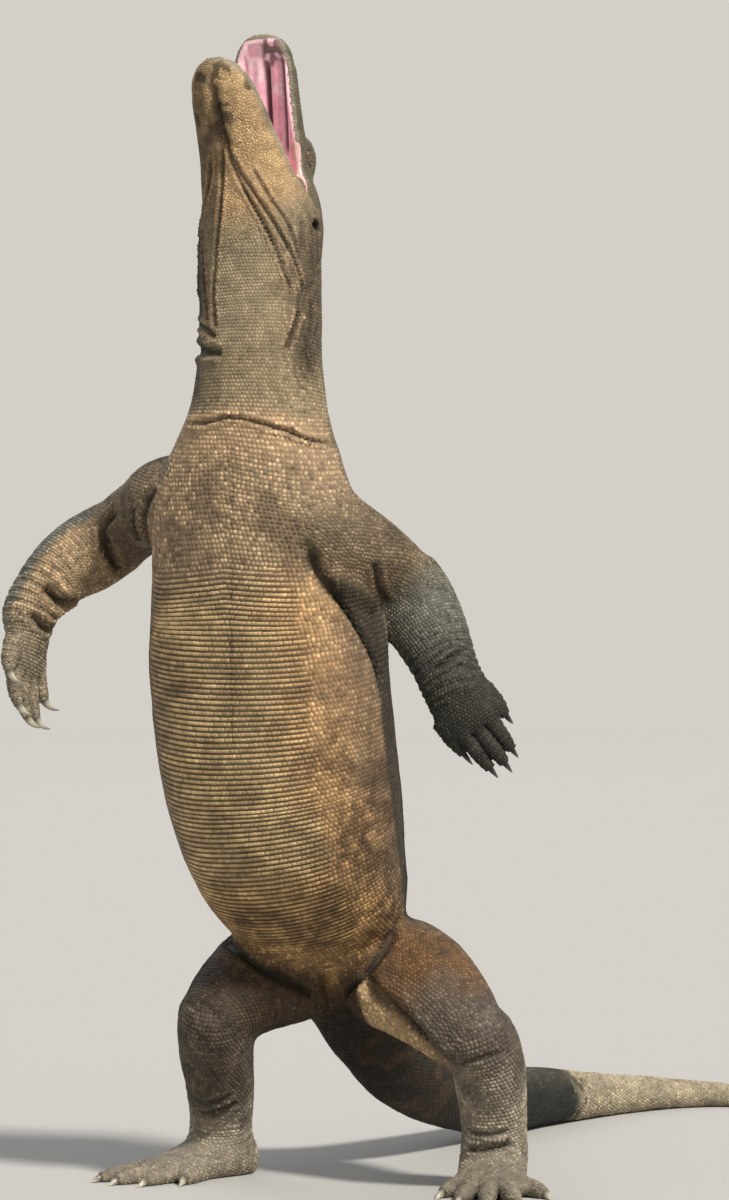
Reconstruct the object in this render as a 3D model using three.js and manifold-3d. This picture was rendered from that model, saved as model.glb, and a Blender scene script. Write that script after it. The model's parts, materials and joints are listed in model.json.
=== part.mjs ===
// A life-size Komodo dragon (Varanus komodoensis) rearing on its hind legs: belly to -Y,
// head raised with the jaws open, arms hanging, and the tail laid back along the floor.
// Millimetres, +Z up. X is the animal's left, and the origin is on the floor under the
// middle of its bounding box. Each length of the body is an oval tube lofted along a
// smooth line. The tubes are then cut by one another, so that the pieces meet with a gap.
import * as THREE from "three";
import { mergeVertices } from "three/addons/utils/BufferGeometryUtils.js";
import Module from "manifold-3d";

const wasm = await Module();
wasm.setup();

const GAP = 0.35; // clearance left between two pieces that meet
const FLOOR_CUT = 400; // depth of the block below the floor that flattens what rests on it
const EYE_RADIUS = 10;
const GAPE_DEG = 34; // how far the lower jaw is dropped from the upper one
const HEAD_TURN_DEG = 7; // the face is turned this far to the animal's right
const LEFT = 1;
const RIGHT = -1;
const HERE = new THREE.Matrix4(); // no turn and no shift

const vec = (x, y, z) => new THREE.Vector3(x, y, z);
const BELLY_SIDE = vec(0, -1, 0);
const UP = vec(0, 0, 1);

const SKIN = { brown: 0x7d6b50, tan: 0x9a8460, grey: 0x56544c, dust: 0x8f877a, pale: 0xa89a80 };
const CLAW_COLOUR = 0x2b2722;
const EYE_COLOUR = 0x1a1410;

// ---------------------------------------------------------------- lofts and solids

// An oval tube. Each station is [centre, half width, reach to the front, reach to the
// back]. The front is the side that `front` points to. `square` over 2 flattens the oval.
function loftRings({ stations, front, sides, rings, square = 2 }, grow = 0) {
  const line = new THREE.CatmullRomCurve3(stations.map(([at]) => at), false, "centripetal");
  const reach = new THREE.CatmullRomCurve3(
    stations.map(([, wide, fore, back]) => vec(wide, fore, back)), false, "catmullrom", 0.5);
  const made = [];
  for (let i = 0; i <= rings; i++) {
    const t = i / rings;
    const along = line.getTangent(t);
    const side = vec(0, 0, 0).crossVectors(front, along).normalize();
    const fore = vec(0, 0, 0).crossVectors(along, side).normalize();
    const size = reach.getPoint(t);
    const end = i === 0 ? -grow : i === rings ? grow : 0;
    const middle = line.getPoint(t).addScaledVector(along, end);
    const ring = [];
    for (let k = 0; k < sides; k++) {
      const a = (2 * Math.PI * k) / sides;
      const c = Math.sign(Math.cos(a)) * Math.abs(Math.cos(a)) ** (2 / square);
      const s = Math.sign(Math.sin(a)) * Math.abs(Math.sin(a)) ** (2 / square);
      const depth = (s > 0 ? size.y : size.z) + grow;
      ring.push(middle.clone().addScaledVector(side, (size.x + grow) * c).addScaledVector(fore, depth * s));
    }
    made.push(ring);
  }
  return made;
}

// Closes a row of rings into one geometry, with a fan over each end.
function closedTube(rings) {
  const sides = rings[0].length;
  const points = rings.flat();
  const faces = [];
  for (let i = 0; i + 1 < rings.length; i++)
    for (let k = 0; k < sides; k++) {
      const next = (k + 1) % sides;
      const [a, b] = [i * sides + k, i * sides + next];
      faces.push(a, b, b + sides, a, b + sides, a + sides);
    }
  const lastBase = (rings.length - 1) * sides;
  for (const [ring, base, flip] of [[rings[0], 0, true], [rings.at(-1), lastBase, false]]) {
    const hub = points.length;
    points.push(ring.reduce((sum, p) => sum.add(p), vec(0, 0, 0)).divideScalar(sides));
    for (let k = 0; k < sides; k++) {
      const next = (k + 1) % sides;
      faces.push(...(flip ? [hub, base + next, base + k] : [hub, base + k, base + next]));
    }
  }
  const geometry = new THREE.BufferGeometry().setFromPoints(points);
  geometry.setIndex(faces);
  return geometry;
}

function solidOf(geometry) {
  const bare = geometry.clone();
  bare.deleteAttribute("normal");
  bare.deleteAttribute("uv");
  const merged = mergeVertices(bare, 1e-3);
  return new wasm.Manifold(new wasm.Mesh({
    numProp: 3,
    vertProperties: merged.attributes.position.array,
    triVerts: new Uint32Array(merged.index.array),
  }));
}

const loft = (shape, grow = 0, place = HERE) =>
  solidOf(closedTube(loftRings(shape, grow)).applyMatrix4(place));

// One length of a loft, from ring `first` to ring `last`, held back by half a gap where it
// was cut from its neighbours.
function lengthOf(shape, first, last, grow = 0) {
  const rings = loftRings(shape, grow).slice(first, last + 1);
  const middleOf = (ring) => ring.reduce((sum, p) => sum.add(p), vec(0, 0, 0)).divideScalar(ring.length);
  const pull = (ring, towards) => {
    const step = middleOf(towards).sub(middleOf(ring)).setLength(GAP / 2 - grow);
    return ring.map((p) => p.clone().add(step));
  };
  if (first > 0) rings[0] = pull(rings[0], rings[1]);
  if (last < shape.rings) rings[rings.length - 1] = pull(rings.at(-1), rings.at(-2));
  return solidOf(closedTube(rings));
}

// An oval ball, with its half sizes along the axes of the frame that `place` sets.
function ball({ half, centre, detail = 7 }, grow = 0, place = HERE) {
  const geometry = new THREE.SphereGeometry(1, detail * 2, detail);
  geometry.scale(half.x + grow, half.y + grow, half.z + grow);
  return solidOf(geometry.translate(centre.x, centre.y, centre.z).applyMatrix4(place));
}

const joined = (solids) => solids.reduce((whole, s) => whole.add(s));
const without = (solid, cutters) => cutters.reduce((rest, c) => rest.subtract(c), solid);

const floorBlock = solidOf(new THREE.BoxGeometry(6000, 6000, FLOOR_CUT).translate(0, 0, -FLOOR_CUT / 2));
const onFloor = (solid) => solid.subtract(floorBlock);

// ---------------------------------------------------------------- trunk, neck and tail

const trunk = {
  front: BELLY_SIDE, sides: 20, rings: 22, square: 2.15,
  stations: [
    [vec(8, 160, 258), 34, 32, 34],
    [vec(10, 138, 276), 62, 46, 60],
    [vec(4, 100, 308), 92, 66, 88],
    [vec(-6, 52, 362), 122, 92, 108],
    [vec(-18, 4, 436), 144, 122, 120],
    [vec(-29, -26, 527), 155, 132, 126],
    [vec(-33, -46, 606), 158, 128, 126],
    [vec(-34, -64, 690), 157, 120, 122],
    [vec(-35, -82, 774), 147, 110, 116],
    [vec(-36, -96, 838), 139, 100, 110],
    [vec(-35, -106, 892), 131, 92, 102],
    [vec(-30, -112, 950), 110, 86, 90],
    [vec(-27, -114, 1002), 90, 82, 82],
    [vec(-27, -110, 1060), 81, 77, 76],
    [vec(-28, -104, 1120), 79, 75, 73],
    [vec(-31, -97, 1184), 79, 74, 68],
    [vec(-33, -90, 1238), 74, 66, 58],
    [vec(-34, -86, 1272), 52, 44, 40],
  ],
};
const NECK_RING = 15; // the gular fold, where the chest ends
const CHEST_RING = 8;

const tail = {
  front: vec(0, -0.6, -0.8), sides: 12, rings: 21, square: 2.1,
  stations: [
    [vec(4, 82, 330), 74, 48, 66],
    [vec(9, 126, 268), 79, 60, 75],
    [vec(14, 164, 218), 68, 65, 71],
    [vec(20, 212, 176), 60, 64, 65],
    [vec(26, 292, 128), 55, 59, 58],
    [vec(30, 387, 93), 50, 54, 54],
    [vec(38, 486, 67), 46, 50, 49],
    [vec(55, 606, 49), 42, 48, 46],
    [vec(80, 725, 43), 37, 43, 42],
    [vec(112, 835, 35), 31, 35.5, 34],
    [vec(152, 935, 28), 25.5, 29, 28],
    [vec(203, 1015, 22.5), 20.5, 23.5, 22.5],
    [vec(262, 1055, 18), 16.5, 19, 18],
    [vec(330, 1052, 13.5), 12.5, 14.5, 14],
    [vec(392, 1015, 9.5), 8.5, 10.5, 10],
    [vec(440, 960, 6), 5, 7, 6],
    [vec(462, 918, 3.6), 2.6, 4.6, 3.2],
  ],
};
const TAIL_RINGS = [0, 8, 14, 21]; // where the three lengths of the tail start and end

// ---------------------------------------------------------------- head

// The head's own frame: +X along the snout, +Y to its left, +Z to the crown, and the
// origin midway between the jaw joints.
const headPlace = new THREE.Matrix4();
{
  const snout = vec(-0.03, 0.03, 1).normalize();
  const turn = THREE.MathUtils.degToRad(HEAD_TURN_DEG);
  const crown = vec(Math.sin(turn), Math.cos(turn), 0);
  const left = vec(0, 0, 0).crossVectors(crown, snout).normalize();
  crown.crossVectors(snout, left);
  headPlace.makeBasis(snout, left, crown).setPosition(-31, -75, 1247);
}
const jawPlace = headPlace.clone().multiply(
  new THREE.Matrix4().makeRotationY(THREE.MathUtils.degToRad(GAPE_DEG)));
const CROWN = vec(0, 0, 1);

// The upper jaw and braincase. The front reach is the height over the mouth line, and the
// back reach is how far the lips or cheeks hang below it.
const cranium = {
  front: CROWN, sides: 16, rings: 12, square: 2.5,
  stations: [
    [vec(-62, 0, 0), 44, 30, 22],
    [vec(-40, 0, 0), 62, 50, 40],
    [vec(0, 0, 0), 66, 57, 42],
    [vec(36, 0, 0), 60, 58, 26],
    [vec(66, 0, 0), 55, 57, 13],
    [vec(96, 0, 0), 51, 54, 10],
    [vec(128, 0, 0), 47, 48, 9],
    [vec(165, -1, 0), 45, 42, 9],
    [vec(200, -2, 0), 43, 37, 9],
    [vec(222, -2, 0), 37, 31, 9],
    [vec(235, -2, 0), 27, 23, 8],
    [vec(242, -2, 0), 12, 12, 6],
  ],
};
// The lower jaw with the throat skin under it. The back reach is the depth of the throat.
const mandible = {
  front: CROWN, sides: 14, rings: 11, square: 2.3,
  stations: [
    [vec(-44, 0, -16), 40, 24, 62],
    [vec(-14, 0, -8), 62, 26, 88],
    [vec(24, 0, -3), 67, 14, 92],
    [vec(62, 0, -2), 64, 9, 76],
    [vec(104, 0, -2), 58, 9, 52],
    [vec(146, 0, -2), 52, 9, 40],
    [vec(180, 0, -2), 48, 9, 34],
    [vec(207, 0, -2), 41, 9, 28],
    [vec(226, 0, -2), 29, 8, 20],
    [vec(236, 0, -2), 13, 6, 11],
  ],
};
// The hollow between the lips: one in the palate, one in the mouth's floor.
const palateHollow = {
  front: CROWN, sides: 12, rings: 6, square: 2,
  stations: [
    [vec(18, 0, -14), 24, 16, 30],
    [vec(48, 0, -10), 45, 20, 30],
    [vec(100, 0, -9), 42, 19, 30],
    [vec(160, -1, -9), 37, 16, 30],
    [vec(205, -2, -9), 33, 12, 30],
    [vec(229, -2, -9), 19, 7, 24],
  ],
};
const mouthFloorHollow = {
  front: CROWN, sides: 12, rings: 6, square: 2,
  stations: [
    [vec(22, 0, 12), 22, 30, 22],
    [vec(56, 0, 8), 48, 30, 24],
    [vec(110, 0, 8), 43, 30, 20],
    [vec(165, 0, 8), 37, 30, 17],
    [vec(204, 0, 8), 29, 30, 14],
    [vec(224, 0, 8), 13, 24, 9],
  ],
};

const paired = (half, x, y, z, detail) =>
  [LEFT, RIGHT].map((side) => ({ half, centre: vec(x, side * y, z), detail }));
const brows = paired(vec(26, 12, 13), 82, 37, 42, 4);
const jawMuscles = paired(vec(50, 20, 42), 4, 51, -4, 4);
const nostrils = paired(vec(6, 5, 4), 206, 37, 17, 3);
const ears = paired(vec(7, 12, 9), -10, 73, 2, 4);
const eyes = paired(vec(EYE_RADIUS, EYE_RADIUS, EYE_RADIUS), 84, 43, 26, 4);

function headSolids() {
  const balls = (set, grow = 0) => set.map((b) => ball(b, grow, headPlace));
  const fullHead = (grow) =>
    joined([loft(cranium, grow, headPlace), ...balls(brows, grow), ...balls(jawMuscles, grow)]);
  const palate = loft(palateHollow, 0, headPlace);
  const hollows = [palate, ...balls(nostrils), ...balls(ears), ...balls(eyes, GAP)];
  const jaw = loft(mandible, 0, jawPlace).subtract(loft(mouthFloorHollow, 0, jawPlace));
  return {
    head: without(fullHead(0), hollows),
    jaw: jaw.subtract(fullHead(GAP)),
    eyes: balls(eyes),
    fullHead: fullHead(GAP),
    fullJaw: loft(mandible, GAP, jawPlace),
  };
}

// ---------------------------------------------------------------- limbs

// The arms hang: upper arm out and back from the shoulder, forearm down and forward.
const arms = [
  {
    name: "left",
    upper: {
      front: vec(0.3, -1, 0.2), sides: 11, rings: 6,
      stations: [
        [vec(10, -112, 862), 42, 40, 40],
        [vec(54, -118, 850), 59, 58, 54],
        [vec(92, -76, 829), 53, 52, 50],
        [vec(114, -14, 803), 46, 44, 45],
        [vec(122, 14, 784), 40, 38, 39],
        [vec(126, 26, 772), 22, 22, 24],
      ],
    },
    fore: {
      front: vec(0.5, -1, 0.3), sides: 11, rings: 6,
      stations: [
        [vec(110, 10, 814), 24, 24, 24],
        [vec(118, 14, 794), 46, 43, 43],
        [vec(137, 14, 762), 54, 48, 47],
        [vec(163, 6, 720), 50, 42, 42],
        [vec(186, -4, 678), 43, 35, 35],
        [vec(202, -11, 645), 40, 30, 30],
        [vec(212, -14, 622), 26, 19, 19],
      ],
    },
    palm: {
      wrist: vec(202, -12, 643), knuckles: vec(233, -12, 602), wide: 43, thick: 21,
      back: vec(0, -0.9, 0.4), thumb: vec(-1, -0.4, -0.6),
    },
    digits: [
      { fan: 2, length: 44, curl: 24, root: -0.88, back: 22 },
      { fan: 2, length: 58, curl: 26, root: -0.5, back: 2 },
      { fan: 2, length: 62, curl: 28, root: -0.06, back: 0 },
      { fan: 1, length: 58, curl: 30, root: 0.38, back: 6 },
      { fan: 4, length: 38, curl: 34, root: 0.78, back: 24 },
    ],
  },
  {
    name: "right",
    upper: {
      front: vec(-0.3, -1, 0.2), sides: 11, rings: 6,
      stations: [
        [vec(-104, -92, 896), 44, 42, 42],
        [vec(-160, -82, 890), 58, 56, 54],
        [vec(-212, -38, 874), 51, 50, 52],
        [vec(-254, -8, 856), 48, 46, 50],
        [vec(-279, 10, 841), 42, 40, 44],
        [vec(-295, 20, 830), 24, 22, 24],
      ],
    },
    fore: {
      front: vec(-0.6, -0.8, 0.5), sides: 11, rings: 6,
      stations: [
        [vec(-262, 20, 856), 24, 24, 24],
        [vec(-278, 10, 844), 50, 46, 47],
        [vec(-306, -14, 823), 58, 51, 53],
        [vec(-334, -40, 798), 52, 46, 46],
        [vec(-354, -64, 768), 44, 38, 38],
        [vec(-366, -80, 738), 38, 32, 32],
        [vec(-370, -87, 718), 24, 20, 20],
      ],
    },
    palm: {
      wrist: vec(-361, -80, 736), knuckles: vec(-364, -100, 668), wide: 40, thick: 21,
      back: vec(-0.87, 0.2, 0.2), thumb: vec(-0.25, -0.85, 0.3),
    },
    digits: [
      { fan: -12, length: 40, curl: 20, root: -0.84, back: 24 },
      { fan: -5, length: 60, curl: 28, root: -0.48, back: 2 },
      { fan: -2, length: 70, curl: 28, root: -0.04, back: 0 },
      { fan: 1, length: 68, curl: 28, root: 0.38, back: 2 },
      { fan: 4, length: 50, curl: 30, root: 0.78, back: 14 },
    ],
  },
];

// The hind legs squat: thighs out and forward, knees bent, feet flat and turned out.
const legs = [
  {
    name: "left",
    upper: {
      front: vec(0.2, -0.5, 0.9), sides: 12, rings: 6,
      stations: [
        [vec(34, 108, 296), 44, 36, 44],
        [vec(74, 93, 280), 80, 64, 74],
        [vec(118, 70, 264), 82, 62, 76],
        [vec(167, 36, 238), 70, 56, 68],
        [vec(204, 10, 214), 58, 47, 56],
        [vec(228, -6, 198), 45, 38, 42],
        [vec(240, -14, 190), 22, 20, 20],
      ],
    },
    fore: {
      front: vec(0.34, -0.94, 0), sides: 12, rings: 6,
      stations: [
        [vec(225, -12, 232), 26, 20, 24],
        [vec(233, -5, 206), 46, 40, 46],
        [vec(239, 14, 166), 48, 46, 54],
        [vec(238, 36, 118), 45, 43, 50],
        [vec(235, 52, 76), 43, 42, 44],
        [vec(233, 58, 44), 42, 46, 40],
        [vec(233, 60, 24), 34, 38, 32],
      ],
    },
    ankle: vec(232, 53, 0), heading: vec(0.28, -0.96, 0),
  },
  {
    name: "right",
    upper: {
      front: vec(-0.2, -0.5, 0.9), sides: 12, rings: 6,
      stations: [
        [vec(-22, 112, 298), 44, 36, 44],
        [vec(-54, 93, 282), 79, 66, 74],
        [vec(-84, 58, 268), 81, 64, 75],
        [vec(-106, 20, 248), 69, 56, 66],
        [vec(-121, -12, 226), 57, 47, 55],
        [vec(-131, -32, 210), 45, 38, 42],
        [vec(-136, -44, 201), 22, 20, 20],
      ],
    },
    fore: {
      front: vec(-0.34, -0.94, 0), sides: 12, rings: 6,
      stations: [
        [vec(-120, -40, 242), 26, 20, 24],
        [vec(-125, -33, 216), 46, 40, 46],
        [vec(-132, -6, 176), 49, 46, 54],
        [vec(-139, 28, 128), 46, 43, 49],
        [vec(-146, 54, 84), 43, 42, 43],
        [vec(-150, 66, 46), 41, 44, 39],
        [vec(-151, 69, 24), 34, 37, 31],
      ],
    },
    ankle: vec(-150, 62, 0), heading: vec(-0.5, -0.87, 0),
  },
];
const FOOT = { length: 96, wide: 46 };
const TOE_CURL = 6;
const TOES = [
  { fan: -30, length: 42, root: -0.72, back: 24 },
  { fan: -13, length: 62, root: -0.42, back: 4 },
  { fan: 0, length: 76, root: -0.02, back: 0 },
  { fan: 12, length: 82, root: 0.38, back: 4 },
  { fan: 34, length: 54, root: 0.76, back: 34 },
];
const DIGIT_RADIUS = 10.5;
const TOE_RADIUS = 12;
const KNUCKLES = [1.04, 0.98, 1.06, 0.94, 0.66]; // the digit's radius along its length
const CLAW_TAPER = [0.6, 0.55, 0.4, 0.24, 0.07];
const CLAW_BEND = 1.1; // how far a claw curls from its root to its tip, in radians
const CLAW_LENGTH = 30;
const CLAW_SUNK = 1.4; // how far a claw's root starts inside its digit, before it is cut clear
const FINGER_SUNK = 8; // how far a digit's root starts inside the palm
const TOE_SUNK = 10;

// A digit as a tube that bends towards the palm from its root to a flat end, and the claw
// that carries the bend on from there. `palmward` is the way that it curls.
function digitAndClaw({ root, heading, palmward, length, curl, radius, claw }) {
  const bend = THREE.MathUtils.degToRad(curl);
  const turned = (angle) =>
    heading.clone().multiplyScalar(Math.cos(angle)).addScaledVector(palmward, Math.sin(angle));
  const line = [root.clone()];
  const steps = KNUCKLES.length - 1;
  for (let i = 1; i <= steps; i++)
    line.push(line.at(-1).clone().addScaledVector(turned((bend * i) / steps), length / steps));
  const front = palmward.clone().negate();
  const round = (at, r) => [at, r, r, r];
  const digit = {
    front, sides: 6, rings: 3,
    stations: line.map((p, i) => round(p, radius * KNUCKLES[i])),
  };
  const clawRoot = line.at(-1).clone().addScaledVector(turned(bend), -CLAW_SUNK);
  const clawLine = [clawRoot];
  for (let i = 1; i < CLAW_TAPER.length; i++)
    clawLine.push(clawLine.at(-1).clone().addScaledVector(
      turned(bend + CLAW_BEND * (i / CLAW_TAPER.length)), claw / (CLAW_TAPER.length - 1)));
  const horn = {
    front, sides: 5, rings: 3,
    stations: clawLine.map((p, i) => [
      p, radius * CLAW_TAPER[i] * 0.75, radius * CLAW_TAPER[i], radius * CLAW_TAPER[i]]),
  };
  return { digit, horn };
}

function handShapes({ palm, digits }) {
  const heading = palm.knuckles.clone().sub(palm.wrist).normalize();
  const across = vec(0, 0, 0).crossVectors(heading, palm.back).normalize();
  if (across.dot(palm.thumb) > 0) across.negate();
  const back = palm.back.clone().addScaledVector(heading, -palm.back.dot(heading)).normalize();
  const palmward = back.clone().negate();
  const along = (share) => palm.wrist.clone().lerp(palm.knuckles, share);
  const slab = {
    front: back, sides: 8, rings: 4,
    stations: [
      [along(-0.35), palm.wide * 0.5, palm.thick * 0.8, palm.thick * 0.8],
      [along(0), palm.wide * 0.86, palm.thick * 1.2, palm.thick * 1.2],
      [along(0.5), palm.wide * 0.98, palm.thick * 1.06, palm.thick * 1.06],
      [along(0.95), palm.wide, palm.thick * 0.9, palm.thick * 0.86],
      [along(1.12), palm.wide * 0.84, palm.thick * 0.62, palm.thick * 0.6],
    ],
  };
  const made = digits.map((d) => {
    const fan = THREE.MathUtils.degToRad(d.fan);
    const way = heading.clone().multiplyScalar(Math.cos(fan)).addScaledVector(across, Math.sin(fan));
    const root = palm.knuckles.clone().addScaledVector(across, d.root * palm.wide)
      .addScaledVector(heading, -d.back - FINGER_SUNK);
    return digitAndClaw({
      root, heading: way, palmward, length: d.length + FINGER_SUNK, curl: d.curl,
      radius: DIGIT_RADIUS, claw: CLAW_LENGTH,
    });
  });
  return { slab, made };
}

function footShapes({ ankle, heading }, side) {
  const across = vec(0, 0, 0).crossVectors(heading, UP).multiplyScalar(-side).normalize();
  const along = (mm, z) => ankle.clone().addScaledVector(heading, mm).setZ(z);
  const slab = {
    front: UP, sides: 8, rings: 5, square: 2.3,
    stations: [
      [along(-50, 20), 20, 14, 24],
      [along(-34, 22), 36, 28, 28],
      [along(0, 22), 43, 36, 28],
      [along(40, 18), 45, 30, 26],
      [along(76, 14), 49, 21, 22],
      [along(FOOT.length, 12), 50, 14, 18],
      [along(FOOT.length + 14, 10), 40, 8, 14],
    ],
  };
  const down = UP.clone().negate();
  const made = TOES.map((d) => {
    const fan = THREE.MathUtils.degToRad(d.fan);
    const way = heading.clone().multiplyScalar(Math.cos(fan)).addScaledVector(across, Math.sin(fan));
    const root = along(FOOT.length - d.back - TOE_SUNK, TOE_RADIUS * 0.9)
      .addScaledVector(across, d.root * FOOT.wide);
    return digitAndClaw({
      root, heading: way, palmward: down, length: d.length + TOE_SUNK, curl: TOE_CURL,
      radius: TOE_RADIUS, claw: CLAW_LENGTH,
    });
  });
  return { slab, made };
}

// ---------------------------------------------------------------- the animal

const dragon = new THREE.Group();

// The biggest connected body of a cut solid, without the slivers that a cut may leave.
function biggestBody(solid) {
  const { vertProperties, triVerts } = solid.getMesh();
  const owner = Array.from({ length: vertProperties.length / 3 }, (_, i) => i);
  const rootOf = (i) => {
    while (owner[i] !== i) i = owner[i] = owner[owner[i]];
    return i;
  };
  for (let i = 0; i < triVerts.length; i += 3) {
    owner[rootOf(triVerts[i + 1])] = rootOf(triVerts[i]);
    owner[rootOf(triVerts[i + 2])] = rootOf(triVerts[i]);
  }
  const bodies = new Map();
  for (let i = 0; i < triVerts.length; i += 3) {
    const root = rootOf(triVerts[i]);
    if (!bodies.has(root)) bodies.set(root, []);
    bodies.get(root).push(...triVerts.slice(i, i + 3));
  }
  const faces = [...bodies.values()].reduce((best, body) => (body.length > best.length ? body : best));
  const geometry = new THREE.BufferGeometry();
  geometry.setAttribute("position", new THREE.BufferAttribute(new Float32Array(vertProperties), 3));
  geometry.setIndex(faces);
  return mergeVertices(geometry.toNonIndexed(), 1e-3);
}

function addPiece(name, solid, colour, roughness = 0.85) {
  const geometry = biggestBody(solid);
  const material = new THREE.MeshStandardMaterial({ color: colour, roughness, metalness: 0 });
  const piece = new THREE.Mesh(geometry, material);
  piece.name = name;
  dragon.add(piece);
}

const headParts = headSolids();
const trunkGrown = loft(trunk, GAP);
const tailGrown = loft(tail, GAP);

addPiece("head", headParts.head, SKIN.brown);
addPiece("lower_jaw", headParts.jaw, SKIN.tan);
headParts.eyes.forEach((eye, i) => addPiece(["eye_left", "eye_right"][i], eye, EYE_COLOUR, 0.2));
addPiece("neck", without(lengthOf(trunk, NECK_RING, trunk.rings),
  [headParts.fullHead, headParts.fullJaw]), SKIN.tan);
addPiece("chest", lengthOf(trunk, CHEST_RING, NECK_RING), SKIN.tan);
addPiece("belly", lengthOf(trunk, 0, CHEST_RING), SKIN.tan);
["tail_base", "tail_middle", "tail_tip"].forEach((name, i) => {
  const length = lengthOf(tail, TAIL_RINGS[i], TAIL_RINGS[i + 1]);
  addPiece(name, onFloor(length.subtract(trunkGrown)), i ? SKIN.pale : SKIN.grey);
});

// A limb's two lengths, cut clear of the trunk, the tail and each other.
function addLimb(limb, names, colours) {
  const upper = loft(limb.upper);
  addPiece(`${names[0]}_${limb.name}`, without(upper, [trunkGrown, tailGrown]), colours[0]);
  const lower = without(loft(limb.fore), [loft(limb.upper, GAP), trunkGrown, tailGrown]);
  addPiece(`${names[1]}_${limb.name}`, onFloor(lower), colours[1]);
}

// A hand or foot cut clear of its limb, and the claws at the ends of its digits.
function addExtremity(limb, name, shapes, colour) {
  const body = joined([loft(shapes.slab), ...shapes.made.map((m) => loft(m.digit))]);
  const limbGrown = [loft(limb.fore, GAP), loft(limb.upper, GAP)];
  addPiece(`${name}_${limb.name}`, onFloor(without(body, limbGrown)), colour);
  const grown = joined([loft(shapes.slab, GAP), ...shapes.made.map((m) => loft(m.digit, GAP))]);
  shapes.made.forEach((m, i) => addPiece(
    `claw_${name}_${limb.name}_${i + 1}`, onFloor(loft(m.horn).subtract(grown)), CLAW_COLOUR, 0.4));
}

for (const arm of arms) {
  addLimb(arm, ["upper_arm", "forearm"], [SKIN.brown, SKIN.grey]);
  addExtremity(arm, "hand", handShapes(arm), SKIN.grey);
}
legs.forEach((leg, i) => {
  addLimb(leg, ["thigh", "shin"], [SKIN.brown, SKIN.grey]);
  addExtremity(leg, "foot", footShapes(leg, [LEFT, RIGHT][i]), SKIN.dust);
});

// The origin goes to the floor under the middle of the box that holds the animal.
const box = new THREE.Box3().setFromObject(dragon);
dragon.position.set(-(box.min.x + box.max.x) / 2, -(box.min.y + box.max.y) / 2, -box.min.z);

export default dragon;
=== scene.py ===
import json
import math

import bmesh
import bpy
import numpy as np
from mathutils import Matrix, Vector
from mathutils.bvhtree import BVHTree
from mathutils.kdtree import KDTree

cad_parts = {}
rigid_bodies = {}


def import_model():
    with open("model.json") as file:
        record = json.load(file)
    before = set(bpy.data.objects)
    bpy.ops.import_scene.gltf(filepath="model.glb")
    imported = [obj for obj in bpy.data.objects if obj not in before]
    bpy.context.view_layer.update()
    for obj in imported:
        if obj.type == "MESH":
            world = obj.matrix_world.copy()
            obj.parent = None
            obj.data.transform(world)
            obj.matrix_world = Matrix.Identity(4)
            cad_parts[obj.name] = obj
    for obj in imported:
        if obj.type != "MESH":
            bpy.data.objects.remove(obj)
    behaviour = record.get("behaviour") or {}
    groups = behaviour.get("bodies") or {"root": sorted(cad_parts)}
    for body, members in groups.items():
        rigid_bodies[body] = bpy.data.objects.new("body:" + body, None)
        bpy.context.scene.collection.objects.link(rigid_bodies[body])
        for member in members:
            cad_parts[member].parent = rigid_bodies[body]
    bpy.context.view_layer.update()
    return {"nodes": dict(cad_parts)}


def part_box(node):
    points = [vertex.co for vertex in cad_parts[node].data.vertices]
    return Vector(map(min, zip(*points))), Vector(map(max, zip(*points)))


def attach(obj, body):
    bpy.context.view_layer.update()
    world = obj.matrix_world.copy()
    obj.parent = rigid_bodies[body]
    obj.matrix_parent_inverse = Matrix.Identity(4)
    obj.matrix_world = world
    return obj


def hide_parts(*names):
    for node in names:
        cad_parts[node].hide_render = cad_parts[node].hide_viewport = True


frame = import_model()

MM = 0.001
COAT = 1.5  # the skin lies this far inside the solids, and the scales fill the rest
TUBE_STEP = 4  # the tubes' lines are read at points this far apart
VOXEL = 3.2  # the skin's mesh width; the head's is half of it
FINE_FROM, FINE_WITHIN = -40, 400  # where the finer mesh starts along the head, and how wide it goes
ON_FLOOR = 0.2  # the height of the skin where it rests on the floor
STRAY = 1.2  # a point of the remesh that lies further off the field than this is drawn back
CHEST, GULAR = 720, 985  # the heights where the chest and the neck begin
LEFT, RIGHT = 1, -1
FAR = 60.0  # a distance that no longer matters to the blend
rng = np.random.default_rng(7)

# ---- the body's measures

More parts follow.
